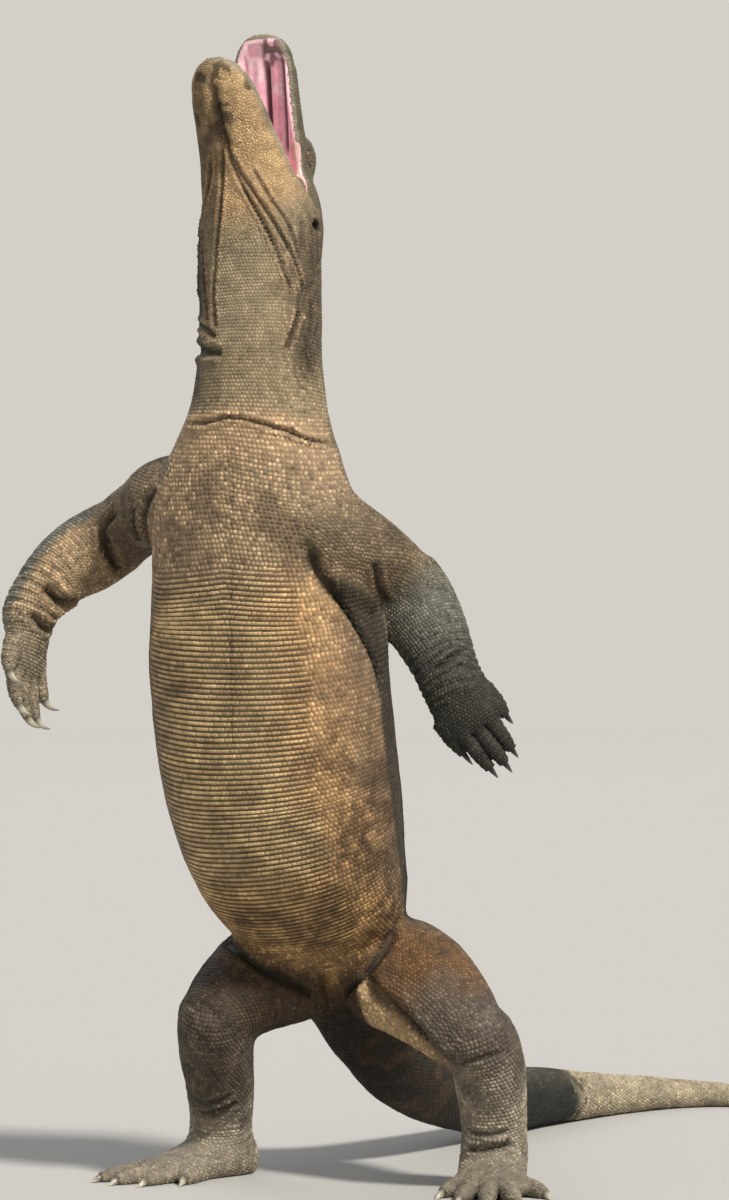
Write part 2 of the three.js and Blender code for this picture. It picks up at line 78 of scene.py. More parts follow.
# Each station is (centre), half width, reach to the front, reach to the back.
TRUNK = [
    ((8, 160, 258), 34, 32, 34), ((10, 138, 276), 62, 46, 60),
    ((4, 100, 308), 92, 66, 88), ((-6, 52, 362), 122, 92, 108),
    ((-18, 4, 436), 144, 122, 120), ((-29, -26, 527), 155, 132, 126),
    ((-33, -46, 606), 158, 128, 126), ((-34, -64, 690), 157, 120, 122),
    ((-35, -82, 774), 147, 110, 116), ((-36, -96, 838), 139, 100, 110),
    ((-35, -106, 892), 131, 92, 102), ((-30, -112, 950), 110, 86, 90),
    ((-27, -114, 1002), 90, 82, 82), ((-27, -110, 1060), 81, 77, 76),
    ((-28, -104, 1120), 79, 75, 73), ((-31, -97, 1184), 79, 74, 68),
    ((-33, -90, 1238), 74, 66, 58), ((-34, -86, 1272), 52, 44, 40),
]
TAIL = [
    ((4, 82, 330), 74, 48, 66), ((9, 126, 268), 79, 60, 75),
    ((14, 164, 218), 68, 65, 71), ((20, 212, 176), 60, 64, 65),
    ((26, 292, 128), 55, 59, 58), ((30, 387, 93), 50, 54, 54),
    ((38, 486, 67), 46, 50, 49), ((55, 606, 49), 42, 48, 46),
    ((80, 725, 43), 37, 43, 42), ((112, 835, 35), 31, 35.5, 34),
    ((152, 935, 28), 25.5, 29, 28), ((203, 1015, 22.5), 20.5, 23.5, 22.5),
    ((262, 1055, 18), 16.5, 19, 18), ((330, 1052, 13.5), 12.5, 14.5, 14),
    ((392, 1015, 9.5), 8.5, 10.5, 10), ((440, 960, 6), 5, 7, 6),
    ((462, 918, 3.6), 2.6, 4.6, 3.2),
]
# In the head's frame: +X along the snout, +Y to the left, +Z to the crown.
CRANIUM = [
    ((-62, 0, 0), 44, 30, 22), ((-40, 0, 0), 62, 50, 40),
    ((0, 0, 0), 66, 57, 42), ((36, 0, 0), 60, 58, 26),
    ((66, 0, 0), 55, 57, 13), ((96, 0, 0), 51, 54, 10),
    ((128, 0, 0), 47, 48, 9), ((165, -1, 0), 45, 42, 9),
    ((200, -2, 0), 43, 37, 9), ((222, -2, 0), 37, 31, 9),
    ((235, -2, 0), 27, 23, 8), ((242, -2, 0), 12, 12, 6),
]
MANDIBLE = [
    ((-44, 0, -16), 40, 24, 62), ((-14, 0, -8), 62, 26, 88),
    ((24, 0, -3), 67, 14, 92), ((62, 0, -2), 64, 9, 76),
    ((104, 0, -2), 58, 9, 52), ((146, 0, -2), 52, 9, 40),
    ((180, 0, -2), 48, 9, 34), ((207, 0, -2), 41, 9, 28),
    ((226, 0, -2), 29, 8, 20), ((236, 0, -2), 13, 6, 11),
]
PALATE_HOLLOW = [
    ((18, 0, -14), 24, 16, 30), ((48, 0, -10), 45, 20, 30),
    ((100, 0, -9), 42, 19, 30), ((160, -1, -9), 37, 16, 30),
    ((205, -2, -9), 33, 12, 30), ((229, -2, -9), 19, 7, 24),
]
FLOOR_HOLLOW = [
    ((22, 0, 12), 22, 30, 22), ((56, 0, 8), 48, 30, 24),
    ((110, 0, 8), 43, 30, 20), ((165, 0, 8), 37, 30, 17),
    ((204, 0, 8), 29, 30, 14), ((224, 0, 8), 13, 24, 9),
]
GAPE = math.radians(34)
HEAD_TURN = math.radians(7)
HEAD_AT = (-31, -75, 1247)
EYE = (84, 43, 26)
EYE_RADIUS = 9.2

# Each arm: front of the upper arm, its stations, front of the forearm, its stations, and the palm
# and digits: (fan in degrees, length, curl in degrees, root across the palm, set back).
ARMS = {
    "left": dict(
        upper_front=(0.3, -1, 0.2),
        upper=[
            ((10, -112, 862), 42, 40, 40), ((54, -118, 850), 59, 58, 54),
            ((92, -76, 829), 53, 52, 50), ((114, -14, 803), 46, 44, 45),
            ((122, 14, 784), 40, 38, 39), ((126, 26, 772), 22, 22, 24),
        ],
        fore_front=(0.5, -1, 0.3),
        fore=[
            ((110, 10, 814), 24, 24, 24), ((118, 14, 794), 46, 43, 43),
            ((137, 14, 762), 54, 48, 47), ((163, 6, 720), 50, 42, 42),
            ((186, -4, 678), 43, 35, 35), ((202, -11, 645), 40, 30, 30),
            ((212, -14, 622), 26, 19, 19),
        ],
        wrist=(202, -12, 643), knuckles=(233, -12, 602), wide=43, thick=21,
        back=(0, -0.9, 0.4), thumb=(-1, -0.4, -0.6),
        digits=[
            (2, 44, 24, -0.88, 22), (2, 58, 26, -0.5, 2), (2, 62, 28, -0.06, 0),
            (1, 58, 30, 0.38, 6), (4, 38, 34, 0.78, 24),
        ],
    ),
    "right": dict(
        upper_front=(-0.3, -1, 0.2),
        upper=[
            ((-104, -92, 896), 44, 42, 42), ((-160, -82, 890), 58, 56, 54),
            ((-212, -38, 874), 51, 50, 52), ((-254, -8, 856), 48, 46, 50),
            ((-279, 10, 841), 42, 40, 44), ((-295, 20, 830), 24, 22, 24),
        ],
        fore_front=(-0.6, -0.8, 0.5),
        fore=[
            ((-262, 20, 856), 24, 24, 24), ((-278, 10, 844), 50, 46, 47),
            ((-306, -14, 823), 58, 51, 53), ((-334, -40, 798), 52, 46, 46),
            ((-354, -64, 768), 44, 38, 38), ((-366, -80, 738), 38, 32, 32),
            ((-370, -87, 718), 24, 20, 20),
        ],
        wrist=(-361, -80, 736), knuckles=(-364, -100, 668), wide=40, thick=21,
        back=(-0.87, 0.2, 0.2), thumb=(-0.25, -0.85, 0.3),
        digits=[
            (-12, 40, 20, -0.84, 24), (-5, 60, 28, -0.48, 2), (-2, 70, 28, -0.04, 0),
            (1, 68, 28, 0.38, 2), (4, 50, 30, 0.78, 14),
        ],
    ),
}
LEGS = {
    "left": dict(
        upper_front=(0.2, -0.5, 0.9),
        upper=[
            ((34, 108, 296), 44, 36, 44), ((74, 93, 280), 80, 64, 74),
            ((118, 70, 264), 82, 62, 76), ((167, 36, 238), 70, 56, 68),
            ((204, 10, 214), 58, 47, 56), ((228, -6, 198), 45, 38, 42),
            ((240, -14, 190), 22, 20, 20),
        ],
        fore_front=(0.34, -0.94, 0),
        fore=[
            ((225, -12, 232), 26, 20, 24), ((233, -5, 206), 46, 40, 46),
            ((239, 14, 166), 48, 46, 54), ((238, 36, 118), 45, 43, 50),
            ((235, 52, 76), 43, 42, 44), ((233, 58, 44), 42, 46, 40),
            ((233, 60, 24), 34, 38, 32),
        ],
        ankle=(232, 53, 0), heading=(0.28, -0.96, 0),
    ),
    "right": dict(
        upper_front=(-0.2, -0.5, 0.9),
        upper=[
            ((-22, 112, 298), 44, 36, 44), ((-54, 93, 282), 79, 66, 74),
            ((-84, 58, 268), 81, 64, 75), ((-106, 20, 248), 69, 56, 66),
            ((-121, -12, 226), 57, 47, 55), ((-131, -32, 210), 45, 38, 42),
            ((-136, -44, 201), 22, 20, 20),
        ],
        fore_front=(-0.34, -0.94, 0),
        fore=[
            ((-120, -40, 242), 26, 20, 24), ((-125, -33, 216), 46, 40, 46),
            ((-132, -6, 176), 49, 46, 54), ((-139, 28, 128), 46, 43, 49),
            ((-146, 54, 84), 43, 42, 43), ((-150, 66, 46), 41, 44, 39),
            ((-151, 69, 24), 34, 37, 31),
        ],
        ankle=(-150, 62, 0), heading=(-0.5, -0.87, 0),
    ),
}
FOOT_LENGTH = 96
FOOT_WIDE = 46
# Toes: fan in degrees, length, root across the foot, set back.
TOES = [
    (-30, 42, -0.72, 24), (-13, 62, -0.42, 4), (0, 76, -0.02, 0), (12, 82, 0.38, 4),
    (34, 54, 0.76, 34),
]
DIGIT_RADIUS = 10.5
TOE_RADIUS = 12
TOE_CURL = 6
FINGER_SUNK = 8
TOE_SUNK = 10
KNUCKLES = [1.04, 0.98, 1.06, 0.94, 0.66]
CLAW_TAPER = [0.6, 0.55, 0.4, 0.24, 0.07]
CLAW_BEND = 1.1
CLAW_LENGTH = 30

# ---- small mathematics


def vec(*xyz):
    return np.array(xyz, float)


def unit(v):
    v = np.asarray(v, float)
    return v / np.maximum(np.linalg.norm(v, axis=-1, keepdims=True), 1e-9)


def smooth(low, high, x):
    """0 below low, 1 over high, and a smooth rise between them."""
    t = np.clip((x - low) / (high - low), 0, 1)
    return t * t * (3 - 2 * t)


def hump(x, width):
    """1 where x is 0, and falling to 0 over about that width on both sides."""
    return np.exp(-((x / width) ** 2))


def span(x, start, full, fading, stop):
    """1 from `full` to `fading`, and 0 before `start` and past `stop`."""
    return smooth(start, full, x) * smooth(stop, fading, x)


def noise(points, size, seed=0):
    """Smooth noise from -1 to 1 that changes over `size` millimetres."""
    q = np.asarray(points, float) / size + 31.7 * seed
    cell = np.floor(q).astype(np.int64)
    f = q - cell
    f = f * f * (3 - 2 * f)
    total = 0
    for corner in np.ndindex(2, 2, 2):
        i = cell + corner
        h = (i[:, 0] * 73856093) ^ (i[:, 1] * 19349663) ^ (i[:, 2] * 83492791)
        h = ((h ^ (h >> 13)) * 1274126177) & 0x7FFFFFFF
        weight = np.prod(np.where(corner, f, 1 - f), axis=1)
        total = total + weight * (h / 0x3FFFFFFF - 1)
    return total


def spline(values, centripetal):
    """The Catmull-Rom spline through `values`, as a function of a share from 0 to 1."""
    p = np.asarray(values, float)
    p = np.vstack([2 * p[0] - p[1], p, 2 * p[-1] - p[-2]])
    spans = len(p) - 3

    def at(share):
        x = np.clip(np.atleast_1d(share), 0, 1) * spans
        i = np.minimum(x.astype(int), spans - 1)
        w = (x - i)[:, None]
        a, b, c, d = p[i], p[i + 1], p[i + 2], p[i + 3]
        if centripetal:
            ab, bc, cd = (np.sqrt(np.linalg.norm(v, axis=1))[:, None] for v in (b - a, c - b, d - c))
            start = ((b - a) / ab - (c - a) / (ab + bc) + (c - b) / bc) * bc
            stop = ((c - b) / bc - (d - b) / (bc + cd) + (d - c) / cd) * bc
        else:
            start, stop = (c - a) / 2, (d - b) / 2
        return b + w * (start + w * (3 * (c - b) - 2 * start - stop + w * (2 * (b - c) + start + stop)))

    return at


def soft_union(distances, radius):
    """The least of several distances, with a fillet of about `radius` where they meet."""
    d = np.asarray(distances)
    least = d.min(0)
    return least - radius * np.log(np.exp((least - d) / radius).sum(0))


def tube_faces(rings, sides, base=0):
    """Faces of a closed tube whose points come ring by ring, counted from `base`."""
    k = np.arange(sides)
    n = (k + 1) % sides
    faces = []
    for i in range(rings - 1):
        a, b = base + i * sides, base + (i + 1) * sides
        faces += np.stack([a + k, a + n, b + n, b + k], 1).tolist()
    return faces + [(base + k[::-1]).tolist(), (base + (rings - 1) * sides + k).tolist()]


def round_ball(segments, rings):
    """Points and faces of a ball of radius 1, with its poles on Z."""
    bm = bmesh.new()
    bmesh.ops.create_uvsphere(bm, u_segments=segments, v_segments=rings, radius=1)
    points = np.array([v.co for v in bm.verts])
    faces = [[v.index for v in f.verts] for f in bm.faces]
    bm.free()
    return points, faces

# ---- ovals and their field


class Tube:
    """An oval tube along a smooth line, read as a signed distance, a length and an angle."""

    def __init__(self, name, front, stations, square=2.0, place=None, inset=COAT):
        self.name, self.square = name, square
        line = spline([at for at, *_ in stations], True)
        size = spline([reach for _, *reach in stations], False)
        length = np.linalg.norm(np.diff(line(np.linspace(0, 1, 60)), axis=0), axis=1).sum()
        t = np.linspace(0, 1, max(10, int(length / TUBE_STEP)))
        centre = line(t)
        along = unit(line(np.minimum(t + 1e-4, 1)) - line(np.maximum(t - 1e-4, 0)))
        side = unit(np.cross(unit(front), along))
        fore = np.cross(along, side)
        if place is not None:
            centre = centre @ place[:3, :3].T + place[:3, 3]
            along, side, fore = (v @ place[:3, :3].T for v in (along, side, fore))
        self.rows = np.hstack([centre, along, side, fore, np.maximum(size(t) - inset, 0.8)])
        self.arc = np.concatenate([[0], np.linalg.norm(np.diff(centre, axis=0), axis=1).cumsum()])
        self.length = self.arc[-1]
        widest = self.rows[:, 12:].max(1)[:, None]
        self.low = (centre - widest).min(0)
        self.high = (centre + widest).max(0)

    def at(self, arc):
        """The rows of centre, axes and reaches at these lengths along the tube."""
        place = np.interp(arc, self.arc, np.arange(len(self.arc)))
        i = np.minimum(place.astype(int), len(self.arc) - 2)
        w = (place - i)[:, None]
        return self.rows[i] * (1 - w) + self.rows[i + 1] * w

    def measure(self, points):
        """Distance outside the tube, length along it and angle round it (90 degrees at its front)."""
        centre = self.rows[:, :3]
        nearest = np.concatenate([
            ((centre * centre).sum(1) - 2 * part @ centre.T).argmin(1)
            for part in np.array_split(points, len(points) // 20000 + 1)])
        arc = self.arc[nearest] + ((points - centre[nearest]) * self.rows[nearest, 3:6]).sum(1)
        row = self.at(arc)
        off = points - row[:, :3]
        x = (off * row[:, 6:9]).sum(1) / row[:, 12]
        y = (off * row[:, 9:12]).sum(1)
        y = y / np.where(y > 0, row[:, 13], row[:, 14])
        share = np.maximum((abs(x) ** self.square + abs(y) ** self.square) ** (1 / self.square), 0.05)
        out = np.linalg.norm(off - ((off * row[:, 3:6]).sum(1))[:, None] * row[:, 3:6], axis=1)
        side = np.where(share > 0.06, out * (1 - 1 / share), -row[:, 12:].min(1))
        past = np.maximum(arc - self.length, -arc)
        outside = np.hypot(np.maximum(side, 0), np.maximum(past, 0))
        return np.minimum(np.maximum(side, past), 0) + outside, arc, np.arctan2(y, x)

    def distance(self, points):
        return near_only(self, points, lambda p: self.measure(p)[0])

    def ring(self, arc, sides):
        """Points round the tube at these lengths along it, one row for each length."""
        row = self.at(np.atleast_1d(arc))
        angle = 2 * np.pi * np.arange(sides) / sides
        c, s = np.cos(angle), np.sin(angle)
        c, s = (np.sign(v) * abs(v) ** (2 / self.square) for v in (c, s))
        across = row[:, 12, None] * c
        deep = np.where(s > 0, row[:, 13, None], row[:, 14, None]) * s
        return (row[:, None, :3] + across[..., None] * row[:, None, 6:9]
                + deep[..., None] * row[:, None, 9:12])

    def shell(self, sides=36):
        """A closed mesh of the tube: its points, and its faces."""
        rings = self.ring(self.arc[:: 2 if len(self.arc) > 24 else 1], sides)
        if not np.allclose(rings[-1], self.ring(self.length, sides)[0]):
            rings = np.vstack([rings, self.ring(self.length, sides)])
        return rings.reshape(-1, 3), tube_faces(len(rings), sides)


class Ball:
    """An oval ball, with its half sizes along the axes of `place`."""

    def __init__(self, half, centre, place, grow=-COAT):
        self.half = vec(*half) + grow
        self.axes = place[:3, :3]
        self.centre = self.axes @ vec(*centre) + place[:3, 3]
        self.low = self.centre - self.half.max()
        self.high = self.centre + self.half.max()

    def distance(self, points):
        def of(p):
            off = p - self.centre
            share = np.maximum(np.linalg.norm(off @ self.axes / self.half, axis=1), 0.05)
            return np.linalg.norm(off, axis=1) * (1 - 1 / share)
        return near_only(self, points, of)

    def shell(self):
        points, faces = round_ball(24, 16)
        return points * self.half @ self.axes.T + self.centre, faces


def near_only(form, points, measure):
    """`measure` of the points near a form, and FAR for the rest."""
    close = ((points > form.low - FAR / 2) & (points < form.high + FAR / 2)).all(1)
    out = np.full(len(points), FAR)
    if close.any():
        out[close] = np.minimum(measure(points[close]), FAR)
    return out


# ---- the body's forms


def head_place():
    """The head's frame, with the snout nearly straight up and the crown to the back."""
    snout = unit(vec(-0.03, 0.03, 1))
    crown = vec(math.sin(HEAD_TURN), math.cos(HEAD_TURN), 0)
    left = unit(np.cross(crown, snout))
    crown = np.cross(snout, left)
    place = np.eye(4)
    place[:3, 0], place[:3, 1], place[:3, 2], place[:3, 3] = snout, left, crown, HEAD_AT
    return place


HEAD = head_place()
# The jaw's frame is the head's, swung down about its side axis by the gape.
DROP = np.eye(4)
DROP[0, 0] = DROP[2, 2] = math.cos(GAPE)
DROP[0, 2], DROP[2, 0] = math.sin(GAPE), -math.sin(GAPE)
JAW = HEAD @ DROP
CROWN = (0, 0, 1)


def in_frame(place, points):
    """The body's points as seen from a frame, and below, a frame's point in the body."""
    return (points - place[:3, 3]) @ place[:3, :3]


def from_frame(place, point):
    return place[:3, :3] @ vec(*point) + place[:3, 3]


def pair(half, x, y, z, grow=-COAT):
    """Two balls of these half sizes, on both sides of the head."""
    return [Ball(half, (x, side * y, z), HEAD, grow) for side in (LEFT, RIGHT)]


def digit_and_claw(name, root, heading, palmward, length, curl, radius):
    """A digit that bends towards the palm, and the line and radii of the claw that goes on from it."""
    bend = math.radians(curl)

    def turned(angle):
        return heading * math.cos(angle) + palmward * math.sin(angle)

    steps = len(KNUCKLES) - 1
    line = [root]
    for i in range(1, steps + 1):
        line.append(line[-1] + turned(bend * i / steps) * length / steps)
    digit = Tube(name, -palmward, [(p, *[radius * k] * 3) for p, k in zip(line, KNUCKLES)], inset=1.0)
    claw, count = [line[-1] - turned(bend) * 3], len(CLAW_TAPER)
    for i in range(1, count):
        claw.append(claw[-1] + turned(bend + CLAW_BEND * i / count) * CLAW_LENGTH / (count - 1))
    reach = [(radius * k * 0.72, radius * k, radius * k) for k in CLAW_TAPER]
    return digit, Tube(name + "_claw", -palmward, [(p, *r) for p, r in zip(claw, reach)], inset=0)


def hand_forms(side, arm):
    wrist, knuckles = vec(*arm["wrist"]), vec(*arm["knuckles"])
    heading = unit(knuckles - wrist)
    across = unit(np.cross(heading, arm["back"]))
    if across @ arm["thumb"] > 0:
        across = -across
    back = unit(arm["back"] - heading * (heading @ arm["back"]))
    wide, thick = arm["wide"], arm["thick"]
    slab = Tube("palm_" + side, back, [
        (wrist + (knuckles - wrist) * share, wide * w, thick * up, thick * down)
        for share, w, up, down in [(-0.35, 0.5, 0.8, 0.8), (0, 0.86, 1.2, 1.2), (0.5, 0.98, 1.06, 1.06),
                                   (0.95, 1, 0.9, 0.86), (1.12, 0.84, 0.62, 0.6)]])
    made = []
    for i, (fan, length, curl, root, set_back) in enumerate(arm["digits"]):
        fan = math.radians(fan)
        way = heading * math.cos(fan) + across * math.sin(fan)
        start = knuckles + across * root * wide - heading * (set_back + FINGER_SUNK)
        made.append(digit_and_claw(
            f"finger_{side}_{i + 1}", start, way, -back, length + FINGER_SUNK, curl, DIGIT_RADIUS))
    return slab, made


def foot_forms(side, leg):
    ankle, heading = vec(*leg["ankle"]), unit(leg["heading"])
    across = unit(np.cross(heading, (0, 0, 1)) * (RIGHT if side == "left" else LEFT))

    def along(mm, z):
        at = ankle + heading * mm
        return vec(at[0], at[1], z)

    slab = Tube("foot_" + side, (0, 0, 1), [
        (along(-50, 20), 20, 14, 24), (along(-34, 22), 36, 28, 28), (along(0, 22), 43, 36, 28),
        (along(40, 18), 45, 30, 26), (along(76, 14), 49, 21, 22),
        (along(FOOT_LENGTH, 12), 50, 14, 18), (along(FOOT_LENGTH + 14, 10), 40, 8, 14)], square=2.3)
    made = []
    for i, (fan, length, root, set_back) in enumerate(TOES):
        fan = math.radians(fan)
        way = heading * math.cos(fan) + across * math.sin(fan)
        start = along(FOOT_LENGTH - set_back - TOE_SUNK, TOE_RADIUS * 0.9) + across * root * FOOT_WIDE
        made.append(digit_and_claw(
            f"toe_{side}_{i + 1}", start, way, vec(0, 0, -1), length + TOE_SUNK, TOE_CURL, TOE_RADIUS))
    return slab, made


trunk = Tube("trunk", (0, -1, 0), TRUNK, 2.15)
tail = Tube("tail", (0, -0.6, -0.8), TAIL, 2.1)
cranium = Tube("cranium", CROWN, CRANIUM, 2.5, HEAD)
mandible = Tube("mandible", CROWN, MANDIBLE, 2.3, JAW)
head_bulges = pair((26, 12, 13), 82, 37, 42) + pair((50, 20, 42), 4, 51, -4)
palate = Tube("palate", CROWN, PALATE_HOLLOW, 2.0, HEAD, inset=-COAT)
mouth_floor = Tube("mouth_floor", CROWN, FLOOR_HOLLOW, 2.0, JAW, inset=-COAT)
cranium_core = Tube("cranium_core", CROWN, CRANIUM, 2.5, HEAD, inset=COAT + 1.5)
limbs, palms, digits, claws = [], [], [], {}
for kind, upper, lower, table, forms in (("hand", "upper_arm", "forearm", ARMS, hand_forms),
                                         ("foot", "thigh", "shin", LEGS, foot_forms)):
    for side, limb in table.items():
        limbs.append(Tube(f"{upper}_{side}", limb["upper_front"], limb["upper"]))
        limbs.append(Tube(f"{lower}_{side}", limb["fore_front"], limb["fore"]))
        slab, made = forms(side, limb)
        palms.append(slab)
        digits += [digit for digit, _ in made]
        claws[f"{kind}_{side}"] = [claw for _, claw in made]

BIG = [trunk, tail, *limbs]
COATED = [trunk, tail, cranium, mandible, *limbs, *palms, *digits]
EYES = [from_frame(HEAD, (EYE[0], side * EYE[1], EYE[2])) for side in (LEFT, RIGHT)]
EARS, NOSTRILS = pair((8, 13, 11), -11, 71, -9, 0), pair((6, 5, 4), 206, 37, 17, 0)


def distances(forms, points):
    return [form.distance(points) for form in forms]


def carved(whole, hollow, radius):
    """A form's distance less a hollow's, with a rounded rim between them."""
    return -soft_union([-whole, hollow], radius)


def mouth_hollow(points):
    """Distance outside the hollow between the jaws."""
    skull = soft_union(distances([cranium, *head_bulges], points), 3)
    upper = np.maximum(palate.distance(points), skull)
    lower = np.maximum(np.maximum(mouth_floor.distance(points), mandible.distance(points)),
                       -cranium_core.distance(points))
    return np.minimum(upper, lower)


def flesh(points):
    """Distance outside the whole body: its ovals, blended where they meet, less its hollows."""
    big = soft_union(distances(BIG, points), 7)
    small = soft_union(distances(digits, points), 1.2)
    small = soft_union([small] + distances(palms, points), 4)
    skull = soft_union(distances([cranium, *head_bulges], points), 5)
    whole = soft_union([big, small, skull, mandible.distance(points)], 7)
    for hollow in [mouth_hollow(points)] + distances(EARS + NOSTRILS, points):
        whole = carved(whole, hollow, 1.5)
    for eye in EYES:
        socket = np.linalg.norm(points - eye, axis=1) - (EYE_RADIUS + 0.3)
        whole = carved(whole, np.minimum(socket, FAR), 0.8)
    return np.maximum(whole, ON_FLOOR - points[:, 2])


# ---- from millimetres to the frame


def node_middle(name):
    low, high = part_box(name)
    return np.array((low + high) / 2) / MM


# The frame's origin lies elsewhere than the body's, by the place of the left eye in both.
SHIFT = node_middle("eye_left") - EYES[0]
SHIFT[2] = 0


def metres(points):
    return (np.asarray(points, float) + SHIFT) * MM


def linked(name, data):
    """A new object in the scene."""
    made = bpy.data.objects.new(name, data)
    bpy.context.scene.collection.objects.link(made)
    return made


def new_mesh(name, points, faces, smooth_shade=True):
    """An object of that mesh. Faces are an array of equal rows, or a list."""
    mesh = bpy.data.meshes.new(name)
    if isinstance(faces, np.ndarray):
        corners = faces.shape[1]
        mesh.vertices.add(len(points))
        mesh.vertices.foreach_set("co", np.asarray(points, np.float32).ravel())
        mesh.loops.add(faces.size)
        mesh.loops.foreach_set("vertex_index", faces.ravel().astype(np.int32))
        mesh.polygons.add(len(faces))
        mesh.polygons.foreach_set("loop_start", np.arange(0, faces.size, corners, dtype=np.int32))
        mesh.update(calc_edges=True)
    else:
        mesh.from_pydata([tuple(p) for p in points], [], faces)
    if smooth_shade:
        mesh.shade_smooth()
    return linked(name, mesh)


def drop(piece):
    mesh = piece.data
    bpy.data.objects.remove(piece)
    bpy.data.meshes.remove(mesh)


def evaluated(piece):
    """The piece with its modifiers applied, as a new mesh; the piece itself goes."""
    made = bpy.data.meshes.new_from_object(piece.evaluated_get(bpy.context.evaluated_depsgraph_get()))
    drop(piece)
    return made


def cut(piece, cutter, operation="DIFFERENCE"):
    """The piece with a boolean by `cutter` applied. The cutter stays."""
    change = piece.modifiers.new("cut", "BOOLEAN")
    change.operation, change.object, change.solver = operation, cutter, "EXACT"
    return linked(piece.name, evaluated(piece))


# ---- the skin's mesh


def shell_piece(form):
    points, faces = form.shell()
    return new_mesh("shell", points, faces, False)


def read(items, field, width, kind=np.float32):
    """One field of all the items, as rows of numbers."""
    out = np.empty(len(items) * width, kind)
    items.foreach_get(field, out)
    return out.reshape(-1, width)


def coords(mesh):
    return read(mesh.vertices, "co", 3).astype(float)


def normals_of(mesh):
    return read(mesh.vertex_normals, "vector", 3).astype(float)


def edges_of(mesh):
    return read(mesh.edges, "vertices", 2, np.int32)


def set_coords(mesh, points):
    mesh.vertices.foreach_set("co", points.astype(np.float32).ravel())
    mesh.update()


def neighbour_mean(values, edges):
    """Each vertex's mean over the vertices that an edge joins it to."""
    count = np.bincount(edges.ravel(), minlength=len(values))
    out = np.empty_like(values)
    for axis in range(values.shape[1]):
        out[:, axis] = (np.bincount(edges[:, 0], values[edges[:, 1], axis], len(values))
                        + np.bincount(edges[:, 1], values[edges[:, 0], axis], len(values)))
    return out / np.maximum(count, 1)[:, None]


def rough_body():
    """The union of all the shells as one even mesh, with the mouth cut open."""
    roof = cut(shell_piece(palate), shell_piece(cranium), "INTERSECT")
    floor = cut(shell_piece(mouth_floor), shell_piece(mandible), "INTERSECT")
    floor = cut(floor, shell_piece(cranium_core))
    open_mouth = [shell_piece(cranium), shell_piece(mandible), shell_piece(trunk)]
    open_mouth += [shell_piece(ball) for ball in head_bulges]
    for cutter in (roof, floor):
        open_mouth = [cut(piece, cutter) for piece in open_mouth]
    points, faces, base = [], [], 0
    solids = [form.shell() for form in [tail, *limbs, *palms, *digits]]
    solids += [(coords(piece.data), [list(f.vertices) for f in piece.data.polygons])
               for piece in open_mouth]
    for p, f in solids:
        points.append(p)
        faces += [[i + base for i in face] for face in f]
        base += len(p)
    for piece in list(bpy.data.objects):
        if piece.name.startswith("shell"):
            drop(piece)
    whole = new_mesh("whole", np.vstack(points), faces, False)
    remesh = whole.modifiers.new("grid", "REMESH")
    remesh.mode, remesh.voxel_size = "VOXEL", VOXEL
    return evaluated(whole)


def finer_head(mesh):
    """Halves the mesh's width over the head."""
    bm = bmesh.new()
    bm.from_mesh(mesh)
    x, y, z = in_frame(HEAD, np.array([v.co for v in bm.verts])).T
    fine = (x > FINE_FROM) & (np.hypot(y, z) < FINE_WITHIN)
    edges = [e for e in bm.edges if fine[e.verts[0].index] and fine[e.verts[1].index]]
    bmesh.ops.subdivide_edges(bm, edges=edges, cuts=1, use_grid_fill=True)
    bm.to_mesh(mesh)
    bm.free()
    return mesh


def without_crumbs(mesh):
    """Drops the small loose bits that the remesh leaves beside the body."""
    edges = edges_of(mesh)
    island = np.arange(len(mesh.vertices))
    while True:
        low = np.minimum(island[edges[:, 0]], island[edges[:, 1]])
        before = island.copy()
        np.minimum.at(island, edges[:, 0], low)
        np.minimum.at(island, edges[:, 1], low)
        island = island[island]
        if (island == before).all():
            break
    crumbs = set(np.flatnonzero(island != np.bincount(island).argmax()).tolist())
    bm = bmesh.new()
    bm.from_mesh(mesh)
    bmesh.ops.delete(bm, geom=[v for v in bm.verts if v.index in crumbs], context="VERTS")
    bm.to_mesh(mesh)
    bm.free()
    return mesh


def settle(mesh):
    """Draws the few points that lie well off the body's field back to it, and smooths their places."""
    edges, points = edges_of(mesh), coords(mesh)
    stray = np.flatnonzero(abs(flesh(points)) > STRAY)
    for _ in range(6):
        part = points[stray]
        value = flesh(part)
        slope = np.stack([flesh(part + step) - flesh(part - step) for step in 0.5 * np.eye(3)], 1)
        points[stray] = part - unit(slope + 1e-9) * np.clip(value, -5, 5)[:, None]
    near = np.zeros(len(points))
    near[stray] = 1
    for _ in range(3):
        near = np.maximum(near, 1.0 * (neighbour_mean(near[:, None], edges)[:, 0] > 0))
    near = near[:, None] * 0.6
    for _ in range(12):
        points += near * (neighbour_mean(points, edges) - points)
    set_coords(mesh, points)
    return mesh


def fit(mesh, rounds):
    """Moves the mesh's points on to the body's field, and evens them out along it."""
    edges = edges_of(mesh)
    points = coords(mesh)
    for _ in range(rounds):
        normal = normals_of(mesh)
        points -= normal * np.clip(flesh(points), -2.5, 2.5)[:, None] * 0.8
        pull = neighbour_mean(points, edges) - points
        pull -= normal * (pull * normal).sum(1)[:, None]
        points += pull * 0.5
        set_coords(mesh, points)
    return mesh


# ---- folds pressed into the skin

